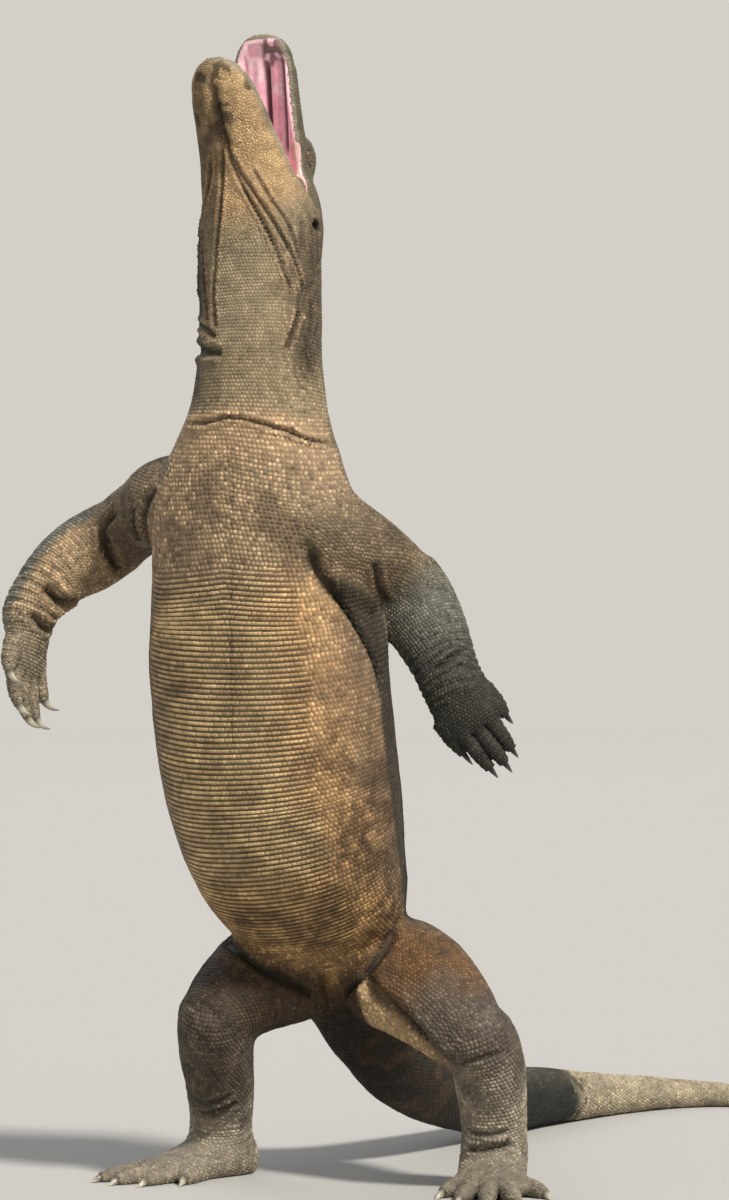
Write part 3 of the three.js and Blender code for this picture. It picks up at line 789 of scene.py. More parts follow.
# Each fold: the width and depth of its crease, the height of the lips beside it, how dark its
# crease is painted (dirt and painted shade), how pale its lips are, and a few points near the skin that it
# runs through.
FOLDS = [
    # gular fold and the fold behind it
    (2.8, 5.0, 2.6, 1.0, 0.5, [(-112, -130, 984), (-71, -189, 986), (-31, -196, 992), (8, -191, 983),
        (39, -176, 973), (59, -156, 963), (76, -110, 956)]),
    # cords of the throat
    (2.6, 4.0, 1.8, 0.95, 0.35, [(-44, -190, 1354), (-41, -182, 1331), (-36, -176, 1308),
        (-26, -175, 1286), (-14, -171, 1264), (4, -156, 1221), (24, -154, 1176), (36, -148, 1138)]),
    (2.6, 3.8, 1.8, 0.9, 0.35, [(-40, -183, 1334), (-29, -177, 1304), (-14, -172, 1280),
        (2, -164, 1255), (15, -149, 1225), (32, -143, 1195), (46, -130, 1134)]),
    (2.4, 2.4, 1.2, 0.6, 0.2, [(-15, -174, 1312), (4, -162, 1274), (19, -139, 1237), (37, -135, 1190)]),
    (2.6, 3.8, 1.8, 0.9, 0.3, [(-47, -190, 1352), (-53, -174, 1305), (-57, -170, 1257),
        (-65, -162, 1196), (-67, -168, 1142), (-60, -176, 1092)]),
    (2.8, 3.6, 1.8, 0.8, 0.25, [(-69, -176, 1333), (-77, -162, 1284), (-90, -135, 1235),
        (-84, -155, 1161), (-76, -170, 1096)]),
    (4, 5, 3, 0.8, 0.0, [(-96, -120, 1260), (-100, -110, 1200), (-98, -120, 1140)]),
    (5.5, 8, 3.5, 1.0, 0.0, [(-104, -120, 1080), (-86, -161, 1079), (-66, -176, 1076),
        (-50, -182, 1075)]),
    (3.4, 4.5, 3.0, 0.8, 0.3, [(-100, -130, 1116), (-89, -155, 1110), (-75, -168, 1104),
        (-61, -177, 1093)]),
    (3.4, 4.0, 2.5, 0.8, 0.4, [(40, -142, 1129), (38, -151, 1109), (33, -159, 1090), (29, -165, 1075)]),
    (4.2, 4.0, 2.2, 0.8, 0.0, [(48, -119, 1143), (49, -125, 1110), (48, -136, 1078), (54, -135, 1040)]),
    # the chin's groove and the line down the belly
    (6.5, 5.5, 2.5, 1.0, 0.0, [(-51, -212, 1417), (-50, -202, 1386), (-47, -190, 1355),
        (-42, -182, 1331)]),
    (2.6, 1.7, 0.3, 0.55, 0.0, [(-33, -196, 950), (-32, -197, 887), (-34, -193, 812), (-37, -186, 710),
        (-40, -177, 634), (-40, -170, 540)]),
    # armpits, and the edge of the belly below the left one
    (8.0, 13, 0.0, 1.0, 0.0, [(58, -170, 846), (67, -163, 809), (73, -158, 794), (84, -150, 776),
        (97, -131, 756), (110, -112, 731), (117, -90, 700), (121, -72, 669), (122, -64, 639)]),
    (5, 7, 2, 1.0, 0.0, [(-150, -140, 905), (-169, -133, 889), (-176, -112, 858), (-168, -80, 838)]),
    (5, 5, 2.5, 0.8, 0.0, [(-196, -128, 884), (-206, -112, 850), (-204, -80, 828)]),
    # elbows and wrists
    (6, 8, 3.0, 1.0, 0.0, [(-256, -100, 878), (-268, -52, 852), (-264, -46, 822), (-260, -20, 795)]),
    (4.5, 5, 2, 0.9, 0.0, [(125, -108, 812), (120, -72, 780), (119, -32, 758)]),
    (7.0, 12, 4.0, 1.0, 0.0, [(-336, -98, 780), (-324, -94, 768), (-317, -79, 756), (-306, -56, 752),
        (-300, -30, 758)]),
    (5.0, 6, 3.0, 0.9, 0.0, [(-352, -104, 742), (-343, -104, 734), (-338, -88, 724), (-322, -66, 722)]),
    (4, 3.5, 1.8, 0.6, 0.0, [(180, -42, 672), (203, -38, 684), (222, -10, 700)]),
    # the belly's edge over the thighs
    (6.0, 9, 1.5, 1.0, 0.0, [(112, 50, 352), (100, 40, 325), (92, 21, 304), (77, 9, 280), (55, 17, 258),
        (7, 60, 238)]),
    (6.0, 8, 1.5, 1.0, 0.0, [(-150, 40, 335), (-118, 19, 307), (-72, -13, 286), (-31, 2, 263),
        (-8, 46, 240)]),
    # thighs, knees and ankles
    (9, 12, 4.0, 0.9, 0.0, [(78, 8, 274), (85, 1, 256), (123, -15, 233), (154, -27, 209),
        (181, -26, 184), (201, -19, 167)]),
    (4, 3, 1.2, 0.6, 0.0, [(217, -31, 171), (245, -35, 177), (273, -18, 187)]),
    (4.5, 5, 3, 0.9, 0.0, [(200, 10, 58), (235, 10, 55), (270, 30, 62)]),
    (3.5, 3, 2, 0.6, 0.0, [(205, 2, 74), (235, 2, 72), (268, 22, 80)]),
    (5, 6, 3, 0.9, 0.0, [(-178, 20, 92), (-149, 5, 84), (-120, 3, 93), (-103, 13, 105)]),
    (4, 3, 2, 0.6, 0.0, [(-170, 20, 118), (-142, 5, 108), (-112, 3, 120)]),
]


class Fold:
    """A fold pressed into the skin along a smooth line through its points."""

    def __init__(self, surface, width, depth, lip, dirt, pale, path):
        self.width, self.depth, self.lip, self.dirt, self.pale = width, depth, lip, dirt, pale
        line = spline(path, True)(np.linspace(0, 1, 60))
        self.line = np.array([surface.find_nearest(Vector(p))[0] for p in line])
        self.low, self.high = self.line.min(0) - 6 * width, self.line.max(0) + 6 * width

    def press(self, points):
        """How far the skin sinks (negative) or swells at each point, how dark its crease is painted with
        dirt and painted shade, and how pale it is.
        """
        close = ((points > self.low) & (points < self.high)).all(1)
        shift, dirt, pale = np.zeros((3, len(points)))
        part = points[close]
        if len(part):
            apart = np.sqrt(((part[:, None] - self.line[None]) ** 2).sum(2))
            share = apart.argmin(1) / (len(self.line) - 1)
            ends = smooth(0, 0.12, share) * smooth(0, 0.12, 1 - share)
            d = apart.min(1) / self.width * (1 + 0.15 * noise(part, 14, 3))
            crest = hump(d - 2.0, 0.9)
            shift[close] = ends * (self.lip * crest - self.depth * hump(d, 1))
            # dirt and painted shade down in the crease
            dirt[close] = ends * self.dirt * hump(d, 1)
            pale[close] = ends * self.pale * crest
        return shift, dirt, pale


def furrow(turns):
    """Rounded ridges with narrow furrows between them, one for each whole turn: -1 to 0.5."""
    return 1.5 * abs(np.sin(np.pi * turns)) ** 0.7 - 1


def lids(points):
    """Raised rims round the eyes, with a brow over them."""
    shift = np.zeros(len(points))
    for side, centre in zip((LEFT, RIGHT), EYES):
        off = points - centre
        u, v = off @ HEAD[:3, 0], off @ HEAD[:3, 2]
        outer = smooth(-2, 4, off @ HEAD[:3, 1] * side)
        ring = np.hypot(u / 10.5, v / 8.5)
        brow = np.exp(-(((v - 13 + 0.012 * u * u) / 3.4) ** 2 + (u / 17) ** 2))
        shift += outer * (1.9 * hump(ring - 1.1, 0.17) + 2.4 * brow - 1.2 * hump(ring - 1.5, 0.2))
    return shift


# Rings of small folds on each kind of tube: their height, spacing and waver, how much the waver
# moves their ends, and the spans where they come in: (share of the length with none, with all).
RINGS = dict(
    forearm=(1.6, 13, 0.8, 0.15, [(0.35, 0.75)]),
    upper=(1.0, 16, 1.0, 0, [(0.75, 1.0), (0.35, 0.0)]),
    palm=(1.3, 11, 0.8, 0, [(0.7, 0.2)]),
    shin=(1.1, 15, 1.0, 0, [(0.6, 0.95), (0.25, 0)]),
    foot=(1.0, 13, 0.8, 0, [(0.6, 0.1)]),
    finger=(0.7, 9, 0.4, 0, []),
    toe=(0.7, 9, 0.4, 0, []),
)
NECK_RADIUS = 70


def kind_of(tube):
    return tube.name.split("_")[0]


def wrinkles(points, owner, arc, angle):
    """Small folds that follow the tubes: rings on the limbs, lengthwise ones on the neck."""
    shift = np.zeros(len(points))
    warp = noise(points, 40, 31)
    for k, tube in enumerate(COATED):
        own = owner == k
        if not own.any():
            continue
        a, turn, w = arc[own], angle[own], warp[own]
        kind, share = kind_of(tube), a / tube.length
        if kind == "trunk":
            front = np.sin(turn)
            necked = smooth(960, 1040, points[own, 2]) * smooth(0.93, 0.6, front) * smooth(-1, -0.3, front)
            necked *= smooth(-0.35, 0.25, noise(points[own], 55, 33))
            shift[own] += 1.15 * necked * furrow(turn * NECK_RADIUS / 15 + 1.4 * w)
        elif kind in RINGS:
            height, spacing, waver, drift, spans = RINGS[kind]
            where = sum(smooth(none, full, share + drift * w) for none, full in spans) if spans else 1
            shift[own] += height * where * furrow(a / spacing + waver * w)
    return shift


def between_digits(points):
    """1 in the creases where one finger or toe lies against the next."""
    apart = np.sort(distances(digits, points), axis=0)
    return hump(apart[1] - apart[0], 2.6) * smooth(9, 3, apart[1])


def tree_of(points, mesh):
    faces = [list(f.vertices) for f in mesh.polygons]
    return BVHTree.FromPolygons([tuple(p) for p in points], faces)


def palate_relief(points):
    """The slit, ridges and gums of the palate: how far it rises towards the skull."""
    x, y, z = in_frame(HEAD, points).T
    inside = (smooth(3.5, 1.5, palate.distance(points)) * smooth(0.5, -2, cranium.distance(points))
              * smooth(4, 8, z + 10))
    slit = 7.5 * hump(y - 2, 3.0) * span(x, 88, 104, 196, 212)
    fold = -3.2 * hump(abs(y - 2) - 12, 6.0) * span(x, 60, 95, 205, 222)
    gutter = 3.4 * hump(abs(y) - 28, 3.2) * span(x, 70, 95, 205, 220)
    gum = -3.0 * hump(abs(y) - 36, 4.0) * smooth(60, 80, x)
    pit = 3.0 * np.exp(-(((x - 86) / 5) ** 2 + ((y - 22) / 4) ** 2))
    return inside * (slit + fold + gutter + gum + pit)


LIP_BARE = (3.5, 7.0)  # how far the lining reaches out on to the lips, at the sides and in front
# The cheek's pale membrane narrows from the gums to the corner of the mouth, on both sides.
CORNER_LINE = [(92, 43, -5), (69, 50, -8), (47, 57, -9), (31, 66, -15)]
CORNER_WIDTH = (7.5, 1.0)
CORNER_STEPS = 24


def near_corner(points):
    """Distance outside the membranes at the corners of the mouth."""
    h = in_frame(HEAD, points)
    h[:, 1] = abs(h[:, 1])
    away = h[:, None] - spline(CORNER_LINE, True)(np.linspace(0, 1, CORNER_STEPS))[None]
    away[..., 1] *= 0.35
    return (np.sqrt((away**2).sum(2)) - np.linspace(*CORNER_WIDTH, CORNER_STEPS)[None]).min(1)


def mouth_lining(points):
    """1 on the lining of the mouth, from the inner side of one lip to that of the other."""
    reach = np.interp(in_frame(HEAD, points)[:, 0], (205, 228), LIP_BARE)
    return np.maximum(smooth(0.6, -0.6, mouth_hollow(points) - reach),
                      smooth(0.6, -0.6, near_corner(points)))


# ---- markings

# Colours as they look in daylight.
TONES = dict(
    belly=(191, 163, 117), belly_warm=(205, 164, 113), belly_low=(195, 156, 103), flank=(123, 107, 86),
    rust=(151, 122, 92), shade=(62, 54, 40), back=(98, 86, 66), chest=(168, 143, 111),
    chest_top=(192, 162, 125), neck=(153, 135, 105), neck_side=(91, 78, 58), throat=(164, 147, 117),
    jaw=(201, 167, 122), chin=(200, 170, 124), lip=(152, 146, 124), crown=(104, 94, 76),
    upper_arm=(120, 104, 80), arm_brown=(92, 78, 58), inner_arm=(166, 141, 108),
    charcoal=(105, 103, 91), slate=(69, 68, 60), hand=(51, 50, 41), palm=(132, 120, 99),
    thigh=(104, 75, 44), thigh_back=(200, 169, 125), knee=(94, 83, 70), shin=(152, 141, 122),
    foot=(138, 128, 110), umber=(44, 34, 20), brown=(88, 66, 42), tail_dark=(34, 37, 33),
    tail_sand=(169, 156, 130), horn_root=(92, 86, 72), horn=(172, 166, 146),
    iris=(92, 58, 28), iris_light=(150, 104, 52), pupil=(10, 9, 9),
    pink=(250, 176, 194), pale_pink=(250, 208, 214), plum=(96, 44, 62), snout=(112, 84, 70),
    membrane=(208, 172, 160), mouth_floor=(205, 140, 146),
)


def tone(name):
    c = np.array(TONES[name]) / 255
    return np.where(c <= 0.04045, c / 12.92, ((c + 0.055) / 1.055) ** 2.4)


def mixed(low, high, share):
    share = np.asarray(share)[:, None]
    return low * (1 - share) + high * share


def layered(hide, *layers):
    """Colours, or one tone by its name, with other tones laid over by the share that goes with each."""
    if isinstance(hide, str):
        hide = tone(hide)
    for name, share in layers:
        hide = mixed(hide, tone(name), share)
    return hide


def limb_named(name):
    return next(limb for limb in limbs if limb.name == name)


def side_of(points, name, share, towards):
    """How far each point lies on one side of a limb's axis: 1 to -1."""
    limb = limb_named(name)
    return unit(points - limb.at(share * limb.length)[:, :3]) @ unit(towards)


def clear_of_arm(points):
    """Distance outside the left upper arm and forearm."""
    return np.min(distances([limb_named("upper_arm_left"), limb_named("forearm_left")], points), axis=0)


def behind_arm(points, angle):
    """1 on the left flank behind the edge of the belly, in the hollow under the arm and below it: where
    shade is painted and the flank is hollowed.
    """
    z, degrees = points[:, 2], np.degrees(angle) % 360
    edge = np.interp(z, [340, 640, 684, 735, 786, 812, 850], [173, 170, 167, 157, 141, 133, 127])
    return (smooth(3, 15, clear_of_arm(points)) * smooth(-1, 3, degrees - edge)
            * smooth(235, 205, degrees) * smooth(862, 846, z))


def paint_trunk(points, share, angle):
    front, x = np.sin(angle), points[:, 0]
    degrees = np.degrees(angle) % 360 + 10 * noise(points, 50, 7)
    z = points[:, 2] + 16 * noise(points, 60, 5)
    stain = smooth(0.0, 0.5, noise(points, 42, 61) + 0.4 * noise(points, 12, 62))
    blotch = smooth(-0.35, 0.25, noise(points, 13, 51) + 0.7 * noise(points, 6, 52))
    right = degrees < 90
    side = layered("flank", ("rust", np.clip(0.5 + noise(points, 30, 15), 0, 1)))
    under = layered("belly", ("belly_warm", smooth(0, 70, x + 40 * noise(points, 80, 2))))
    hide = mixed(tone("back"), side, smooth(-0.45, 0.15, front + 0.15 * noise(points, 35, 1)))
    hide = mixed(hide, under, smooth(0.35, 0.75, front + 0.12 * noise(points, 40, 3)))
    return layered(
        hide,
        ("belly_low", smooth(440, 330, z) * smooth(0.1, 0.5, front)),
        ("brown", 0.34 * stain * smooth(0.2, 0.5, front)),
        ("brown", (0.4 + 0.42 * blotch) * span(degrees, 112, 140, 195, 225) * smooth(660, 520, z)),
        ("brown", 0.55 * blotch * smooth(400, 330, z) * smooth(0.1, 0.5, front)),
        ("rust", 0.6 * hump(np.linalg.norm(points - vec(96, -125, 650), axis=1), 70)),
        # painted shade: the animal's right flank darkens to the back's tone
        ("back", 0.75 * smooth(44, 14, degrees) * right),
        ("chest", smooth(740, 820, z) * smooth(-0.4, 0.2, front)),
        ("chest_top", smooth(915, 955, z) * smooth(0.4, 0.8, front)),
        ("neck", smooth(GULAR, GULAR + 25, z)),
        ("neck_side", smooth(1010, 1080, z) * smooth(0.85, 0.45, front)),
        ("throat", smooth(1060, 1120, z) * smooth(0.85, 0.97, front)),
        ("crown", smooth(960, 1060, z) * smooth(0.1, -0.5, front)),
        # painted shade on the neck's right side
        ("shade", 0.88 * smooth(GULAR, GULAR + 55, z) * smooth(64, 30, degrees) * right),
        # painted shade on the flank behind the left arm
        ("shade", behind_arm(points, angle)))


def paint_tail(points, share, angle):
    y = points[:, 1]
    sand = smooth(758, 806, y + 16 * noise(points, 30, 4) + 16 * noise(points, 9, 59))
    ring = smooth(0.45, 0.8, np.sin(y / 11 + 2 * noise(points, 40, 63)))
    ring *= smooth(0.0, 0.5, noise(points, 30, 64))
    # painted shadow: the tail is umber at its base and darker still beside the legs, for the body's and
    # the legs' shadow on it; the sand beyond is the tail's own tone where the sun reaches it
    return layered(
        "umber",
        ("brown", 0.45 * smooth(0.0, 0.5, noise(points, 24, 60)) * smooth(420, 300, y)),
        ("tail_dark", smooth(350, 560, y)),
        ("tail_sand", sand),
        ("back", 0.4 * ring * sand),
        ("back", 0.35 * smooth(0, -0.8, np.sin(angle)) * (1 - sand)))


def paint_head(points, share, angle):
    x, _, z = in_frame(HEAD, points).T
    return layered(
        "crown", ("neck_side", smooth(60, 0, x)),
        ("lip", smooth(4, -4, z + 3 * noise(points, 14, 6)) * smooth(30, 60, x)))


def paint_jaw(points, share, angle):
    x, y, z = in_frame(JAW, points).T
    blotch = smooth(0.05, 0.45, noise(points, 13, 18) + 0.4 * noise(points, 6, 54))
    return layered(
        "jaw",
        ("throat", smooth(70, 20, x)),
        ("neck_side", 0.8 * smooth(-5, -30, y + 10 * noise(points, 25, 16))),
        ("chin", smooth(135, 180, x) * smooth(34, 10, y + 8 * noise(points, 20, 17))),
        ("brown", (0.45 + 0.4 * noise(points, 12, 53)) * smooth(8, -10, y) * smooth(80, 120, x)),
        ("umber", 0.75 * blotch * smooth(120, 170, x)),
        ("lip", 0.7 * smooth(-13, -7, z + 3 * noise(points, 12, 6)) * smooth(40, 90, x)))


def paint_upper_arm(points, share, angle):
    dusty = np.clip(0.5 + 0.9 * noise(points, 28, 24), 0, 1)
    return layered("upper_arm", ("arm_brown", dusty * smooth(0.1, 0.6, share)))


def paint_left_forearm(points, share, angle):
    return layered(
        "upper_arm", ("charcoal", smooth(-0.1, 0.25, share + 0.12 * noise(points, 40, 25))),
        ("slate", smooth(0.4, 0.75, share)), ("hand", smooth(0.7, 1.0, share)))


def paint_right_forearm(points, share, angle):
    outer = side_of(points, "forearm_right", share, (-0.75, 0.35, 0.6))
    return layered("charcoal", ("inner_arm", smooth(0.45, 0.0, outer + 0.3 * noise(points, 26, 8))))


def in_shade(points):
    """1 low between the legs and round the right thigh: painted shade, where the belly shadows them."""
    x, y, z = points.T
    between = smooth(140, 60, abs(x + 10)) * smooth(330, 270, z) * smooth(-40, 20, y)
    return np.maximum(between, smooth(-20, -60, x) * smooth(150, 230, z))


def paint_thigh(points, share, angle):
    x, y, z = points.T
    fold = np.interp(x, [70, 123, 201], [280, 233, 167])
    under = smooth(3, -7, z - fold + 4 * noise(points, 20, 26)) * smooth(95, 55, y)
    return layered(
        "thigh",
        ("knee", smooth(0.45, 0.95, share + 0.15 * noise(points, 35, 27))),
        ("back", 0.85 * smooth(55, 105, y + 12 * noise(points, 25, 58))),
        # painted shade from the belly, low between the legs
        ("umber", 0.8 * in_shade(points)),
        ("thigh_back", 0.92 * under * smooth(58, 72, x)))


def paint_right_thigh(points, share, angle):
    # painted shade: the right thigh is umber, for the belly's shadow over it
    return layered(
        "umber", ("brown", 0.4 * smooth(-170, -120, points[:, 0] + 12 * noise(points, 22, 55))),
        ("knee", 0.35 * smooth(0.2, 0.6, noise(points, 14, 56))))


def paint_right_shin(points, share, angle):
    # painted shade: the right shin is umber under its own tones, for the belly's shadow
    return layered(
        "umber", ("knee", 0.75 + 0.5 * noise(points, 16, 57)),
        ("shin", smooth(0.5, 0.8, share + 0.15 * noise(points, 30, 28))),
        ("foot", smooth(0.75, 1, share)))


def paint_shin(points, share, angle):
    return layered(
        "knee", ("shin", smooth(0.15, 0.55, share + 0.15 * noise(points, 30, 28))),
        ("foot", smooth(0.6, 1, share)))


def plain(name):
    return lambda points, share, angle: np.tile(tone(name), (len(points), 1))


PAINTS = dict(
    trunk=paint_trunk, tail=paint_tail, cranium=paint_head, mandible=paint_jaw,
    upper_arm_left=paint_upper_arm, upper_arm_right=paint_upper_arm,
    forearm_left=paint_left_forearm, forearm_right=paint_right_forearm,
    thigh_left=paint_thigh, thigh_right=paint_right_thigh,
    shin_left=paint_shin, shin_right=paint_right_shin,
    palm_left=plain("hand"), palm_right=plain("palm"),
    foot_left=plain("foot"), foot_right=plain("foot"),
)


def paint_of(tube):
    if tube.name in PAINTS:
        return PAINTS[tube.name]
    return PAINTS["foot_left" if kind_of(tube) == "toe" else "palm_" + tube.name.split("_")[1]]


def body_reading(points):
    """For each point: its colour, the tube it lies on, and its length along and angle round that."""
    total, colour = np.full(len(points), 1e-9), np.zeros((len(points), 3))
    least, owner = np.full(len(points), 1e9), np.zeros(len(points), int)
    arc, angle = np.zeros((2, len(points)))
    for k, tube in enumerate(COATED):
        close = np.flatnonzero(((points > tube.low - 30) & (points < tube.high + 30)).all(1))
        if not len(close):
            continue
        part = points[close]
        d, along, turn = tube.measure(part)
        weight = np.exp(-np.maximum(d, -12) / 9)
        total[close] += weight
        colour[close] += weight[:, None] * paint_of(tube)(part, along / tube.length, turn)
        nearer = d < least[close]
        chosen = close[nearer]
        least[chosen], owner[chosen] = d[nearer], k
        arc[chosen], angle[chosen] = along[nearer], turn[nearer]
    return colour / total[:, None], owner, arc, angle


def paint_mouth(points):
    """The lining's colour, from pale gums and pink palate to the plum slit and blotches."""
    x, y, _ = in_frame(HEAD, points).T
    jaw = in_frame(JAW, points)
    slit = hump(y - 2, 4.2) * span(x, 88, 104, 196, 212)
    gutter = hump(abs(y) - 28, 3.0) * span(x, 80, 100, 205, 222)
    front = smooth(196, 206, x) * span(y, -6, 0, 30, 38)
    return layered(
        "pink",
        ("pale_pink", smooth(-0.1, 0.5, noise(points, 16, 9))),
        ("mouth_floor", smooth(30, 50, jaw[:, 0]) * smooth(14, 4, jaw[:, 2])),
        ("pale_pink", 0.85 * hump(mouth_hollow(points) - 1.5, 2.5)),
        ("membrane", smooth(2, -3, near_corner(points))),
        ("plum", np.clip(slit + 0.75 * gutter * (y > 0) + 0.25 * gutter, 0, 1)),
        ("plum", front * smooth(-0.4, 0.2, noise(points, 7, 11)) * 0.8),
        ("snout", front * smooth(0.2, -0.3, noise(points, 9, 14)) * 0.95))


# ---- scales

# Two kinds of scale. Each rises from a sunk rim over a shoulder, at this share of its half length
# and half width, to its middle: corners, squareness, shoulder, length and width beside the pitch,
# and height beside the size.
PLATE = (8, 6.0, (0.72, 0.93), 0.71, 1.12, 0.10)
BEAD = (6, 2.2, (0.76, 0.76), 1.03, 1.05, 0.12)
BEAD_GAP = 0.42  # how dark the painted shade in the gaps between beads is, beside that between the belly's rows
RIM_SUNK = 0.45
SIZES = dict(cranium=4.2, mandible=4.0, upper=5.4, forearm=4.9, thigh=5.9, shin=5.8, palm=4.6, foot=5.0,
             finger=4.0, toe=4.4)
EDGE_OF_ROWS = 124  # degrees round the trunk where the rows of plates give way to beads
MIDLINE = 86  # degrees round the trunk of the belly's midline
RING_SIDES = 72
REACH = 9  # how far off the tube the skin may lie where a ring of scales is laid


def pitch_of(tube, arc):
    """How far apart the rows are at this length along a tube, and the scales in a row."""
    kind = kind_of(tube)
    if kind == "trunk":
        rows = np.interp(arc, [0, 560, 640, 760, 850, 940], [7.0, 7.0, 6.6, 6.2, 5.0, 4.4])
        return rows, np.minimum(rows, 5.9)
    if kind == "tail":
        rows = np.interp(arc / tube.length, [0, 0.5, 1], [7.6, 7.0, 4.0])
        return rows, rows * 0.8
    return SIZES[kind], SIZES[kind] * 0.94


def plate_share(points, owner, angle):
    """1 where the scales are the flat square plates in the belly's rows, 0 elsewhere."""
    degrees, z = np.degrees(angle), points[:, 2]
    edge = degrees + 5 * noise(points, 22, 42)
    belly = smooth(26, 38, degrees) * smooth(EDGE_OF_ROWS + 6, EDGE_OF_ROWS - 6, edge)
    return np.where(owner == 0, belly * smooth(830, 770, z) * smooth(290, 330, z), 0)


def rows_on(tube, tree):
    """Roots of scales in rings along a tube, where the skin is the tube's own.

    Where the tube bends, the rings spread on its outer side and crowd on its inner side: the
    spacing suits the outer side, and every other ring leaves out its crowded part."""
    found = []
    arc, row = 1.0, 0
    while arc < tube.length - 1:
        rows, across = pitch_of(tube, arc)
        ring = tube.ring(arc, RING_SIDES)[0]
        spread = np.linalg.norm(tube.ring(arc + 1, RING_SIDES)[0] - ring, axis=1)
        step = rows / np.clip(np.percentile(spread, 88), 0.7, 2.2)
        centre = tube.at(np.array([arc]))[0]
        closed, spread = np.vstack([ring, ring[:1]]), np.append(spread, spread[0])
        run = np.concatenate([[0], np.linalg.norm(np.diff(closed, axis=0), axis=1).cumsum()])
        count = max(6, int(round(run[-1] / across)))
        offset = 0.5 * (row % 2) + rng.uniform(-0.12, 0.12, count)
        places = (np.arange(count) + offset) % count / count * run[-1]
        gaps = step * np.interp(places, run, spread)
        start = Vector(centre[:3])
        spots = np.stack([np.interp(places, run, closed[:, axis]) for axis in range(3)], 1)
        for spot, gap in zip(spots, gaps):
            crowded = gap < 0.62 * rows
            if crowded and row % 2:
                continue
            way = Vector(spot) - start
            reach = way.length
            way.normalize()
            hit, normal, _, far = tree.ray_cast(start, way, reach + REACH)
            if hit is not None and abs(far - reach) < REACH:
                found.append((*hit, *normal, *centre[3:6], gap * (2 if crowded else 1), run[-1] / count))
        arc += step
        row += 1
    return np.array(found).reshape(-1, 11)


def bend_rows(found, tube, tree):
    """Waves and small slips in the rows, and their slant up from the midline over the chest."""
    p, lie = found[:, :3], found[:, 6:9]
    wave = 1.5 * noise(p, 110, 41)
    slip = wave + rng.uniform(-0.1, 0.1, len(p)) * found[:, 9]
    if tube is trunk:
        angle = tube.measure(p)[2]
        off_middle = abs(np.degrees(angle) - MIDLINE)
        even = plate_share(p, np.zeros(len(p)), angle) > 0.5
        slip = np.where(even, wave + 0.2 * slip, slip)
        slant = np.clip(off_middle / 45, 0, 1) * span(p[:, 2], CHEST - 20, CHEST + 50, GULAR - 55, GULAR)
        slip = slip - 12 * slant * (off_middle < 130)
    moved = [tree.find_nearest(Vector(q)) for q in p + lie * slip[:, None]]
    found[:, :3] = [hit[0] for hit in moved]
    found[:, 3:6] = [hit[1] for hit in moved]
    return found


def finder(points):
    """A tree that finds the nearest of the points."""
    known = KDTree(len(points))
    for i, p in enumerate(points):
        known.insert(p, i)
    known.balance()
    return known


def lay_scales(tree):
    """The roots of the rows over each tube in turn: place, normal, way along, pitch along and across."""
    kept = np.zeros((0, 11))
    for tube in COATED:
        new = bend_rows(rows_on(tube, tree), tube, tree)
        if len(kept) and len(new):
            known = finder(kept[:, :3])
            new = new[np.array([known.find(r[:3])[2] > 0.66 * min(r[9], r[10]) for r in new])]
        kept = np.vstack([kept, new])
    return kept


def fill_gaps(kept, points, normals, along, sizes):
    """Roots where no scale is near, chosen from the skin's own points in a shuffled order."""
    known = finder(kept[:, :3])
    cells, added = {}, []
    for i in rng.permutation(len(points)):
        size, p = sizes[i], points[i]
        if known.find(p)[2] < 0.74 * size:
            continue
        key = tuple((p // 8).astype(int))
        near = [q for dx in (-1, 0, 1) for dy in (-1, 0, 1) for dz in (-1, 0, 1)
                for q in cells.get((key[0] + dx, key[1] + dy, key[2] + dz), ())]
        if near and (((np.array(near) - p) ** 2).sum(1) < (0.8 * size) ** 2).any():
            continue
        cells.setdefault(key, []).append(p)
        added.append((*p, *normals[i], *along[i], size * 0.92, size * 0.92))
    return np.array(added).reshape(-1, 11)


def corner_turns(corners):
    return (np.arange(corners) + 0.5) * 2 * np.pi / corners


def scale_mesh(roots, corners, square, shoulder_at, long, wide, height):
    """Points and faces of many scales: for each, a rim, a shoulder and a middle point."""
    at, normal, lie = roots[:, :3], unit(roots[:, 3:6]), roots[:, 6:9]
    lie = unit(lie - normal * (lie * normal).sum(1)[:, None])
    across = np.cross(normal, lie)
    c, s = np.cos(corner_turns(corners)), np.sin(corner_turns(corners))
    half_long, half_wide = long * roots[:, 9] / 2, wide * roots[:, 10] / 2
    u = np.sign(c) * abs(c) ** (2 / square) * half_long[:, None]
    v = np.sign(s) * abs(s) ** (2 / square) * half_wide[:, None]

    def lift(u, v, up):
        return (at[:, None] + lie[:, None] * u[..., None] + across[:, None] * v[..., None]
                + normal[:, None] * up[..., None])

    rim = lift(u, v, np.full_like(u, -RIM_SUNK))
    tilt = 0.25 * height[:, None] * u / half_long[:, None]
    shoulder = lift(u * shoulder_at[0], v * shoulder_at[1], 0.8 * height[:, None] + tilt)
    middle = lift(0 * u[:, :1], 0 * u[:, :1], height[:, None])
    points = np.concatenate([rim, shoulder, middle], 1).reshape(-1, 3)
    k, top = np.arange(corners), 2 * corners
    n = (k + 1) % corners
    one = np.concatenate([np.stack([k, n, n + corners], 1), np.stack([k, n + corners, k + corners], 1),
                          np.stack([k + corners, n + corners, np.full(corners, top)], 1)])
    faces = (one[None] + (top + 1) * np.arange(len(roots))[:, None, None]).reshape(-1, 3)
    return points, faces


# ---- materials


def add_colour(mesh, name, values):
    attribute = mesh.attributes.new(name, "FLOAT_COLOR", "POINT")
    values = np.hstack([values, np.ones((len(values), 1))])
    attribute.data.foreach_set("color", values.astype(np.float32).ravel())


def add_number(mesh, name, values):
    attribute = mesh.attributes.new(name, "FLOAT", "POINT")
    attribute.data.foreach_set("value", np.asarray(values, np.float32))


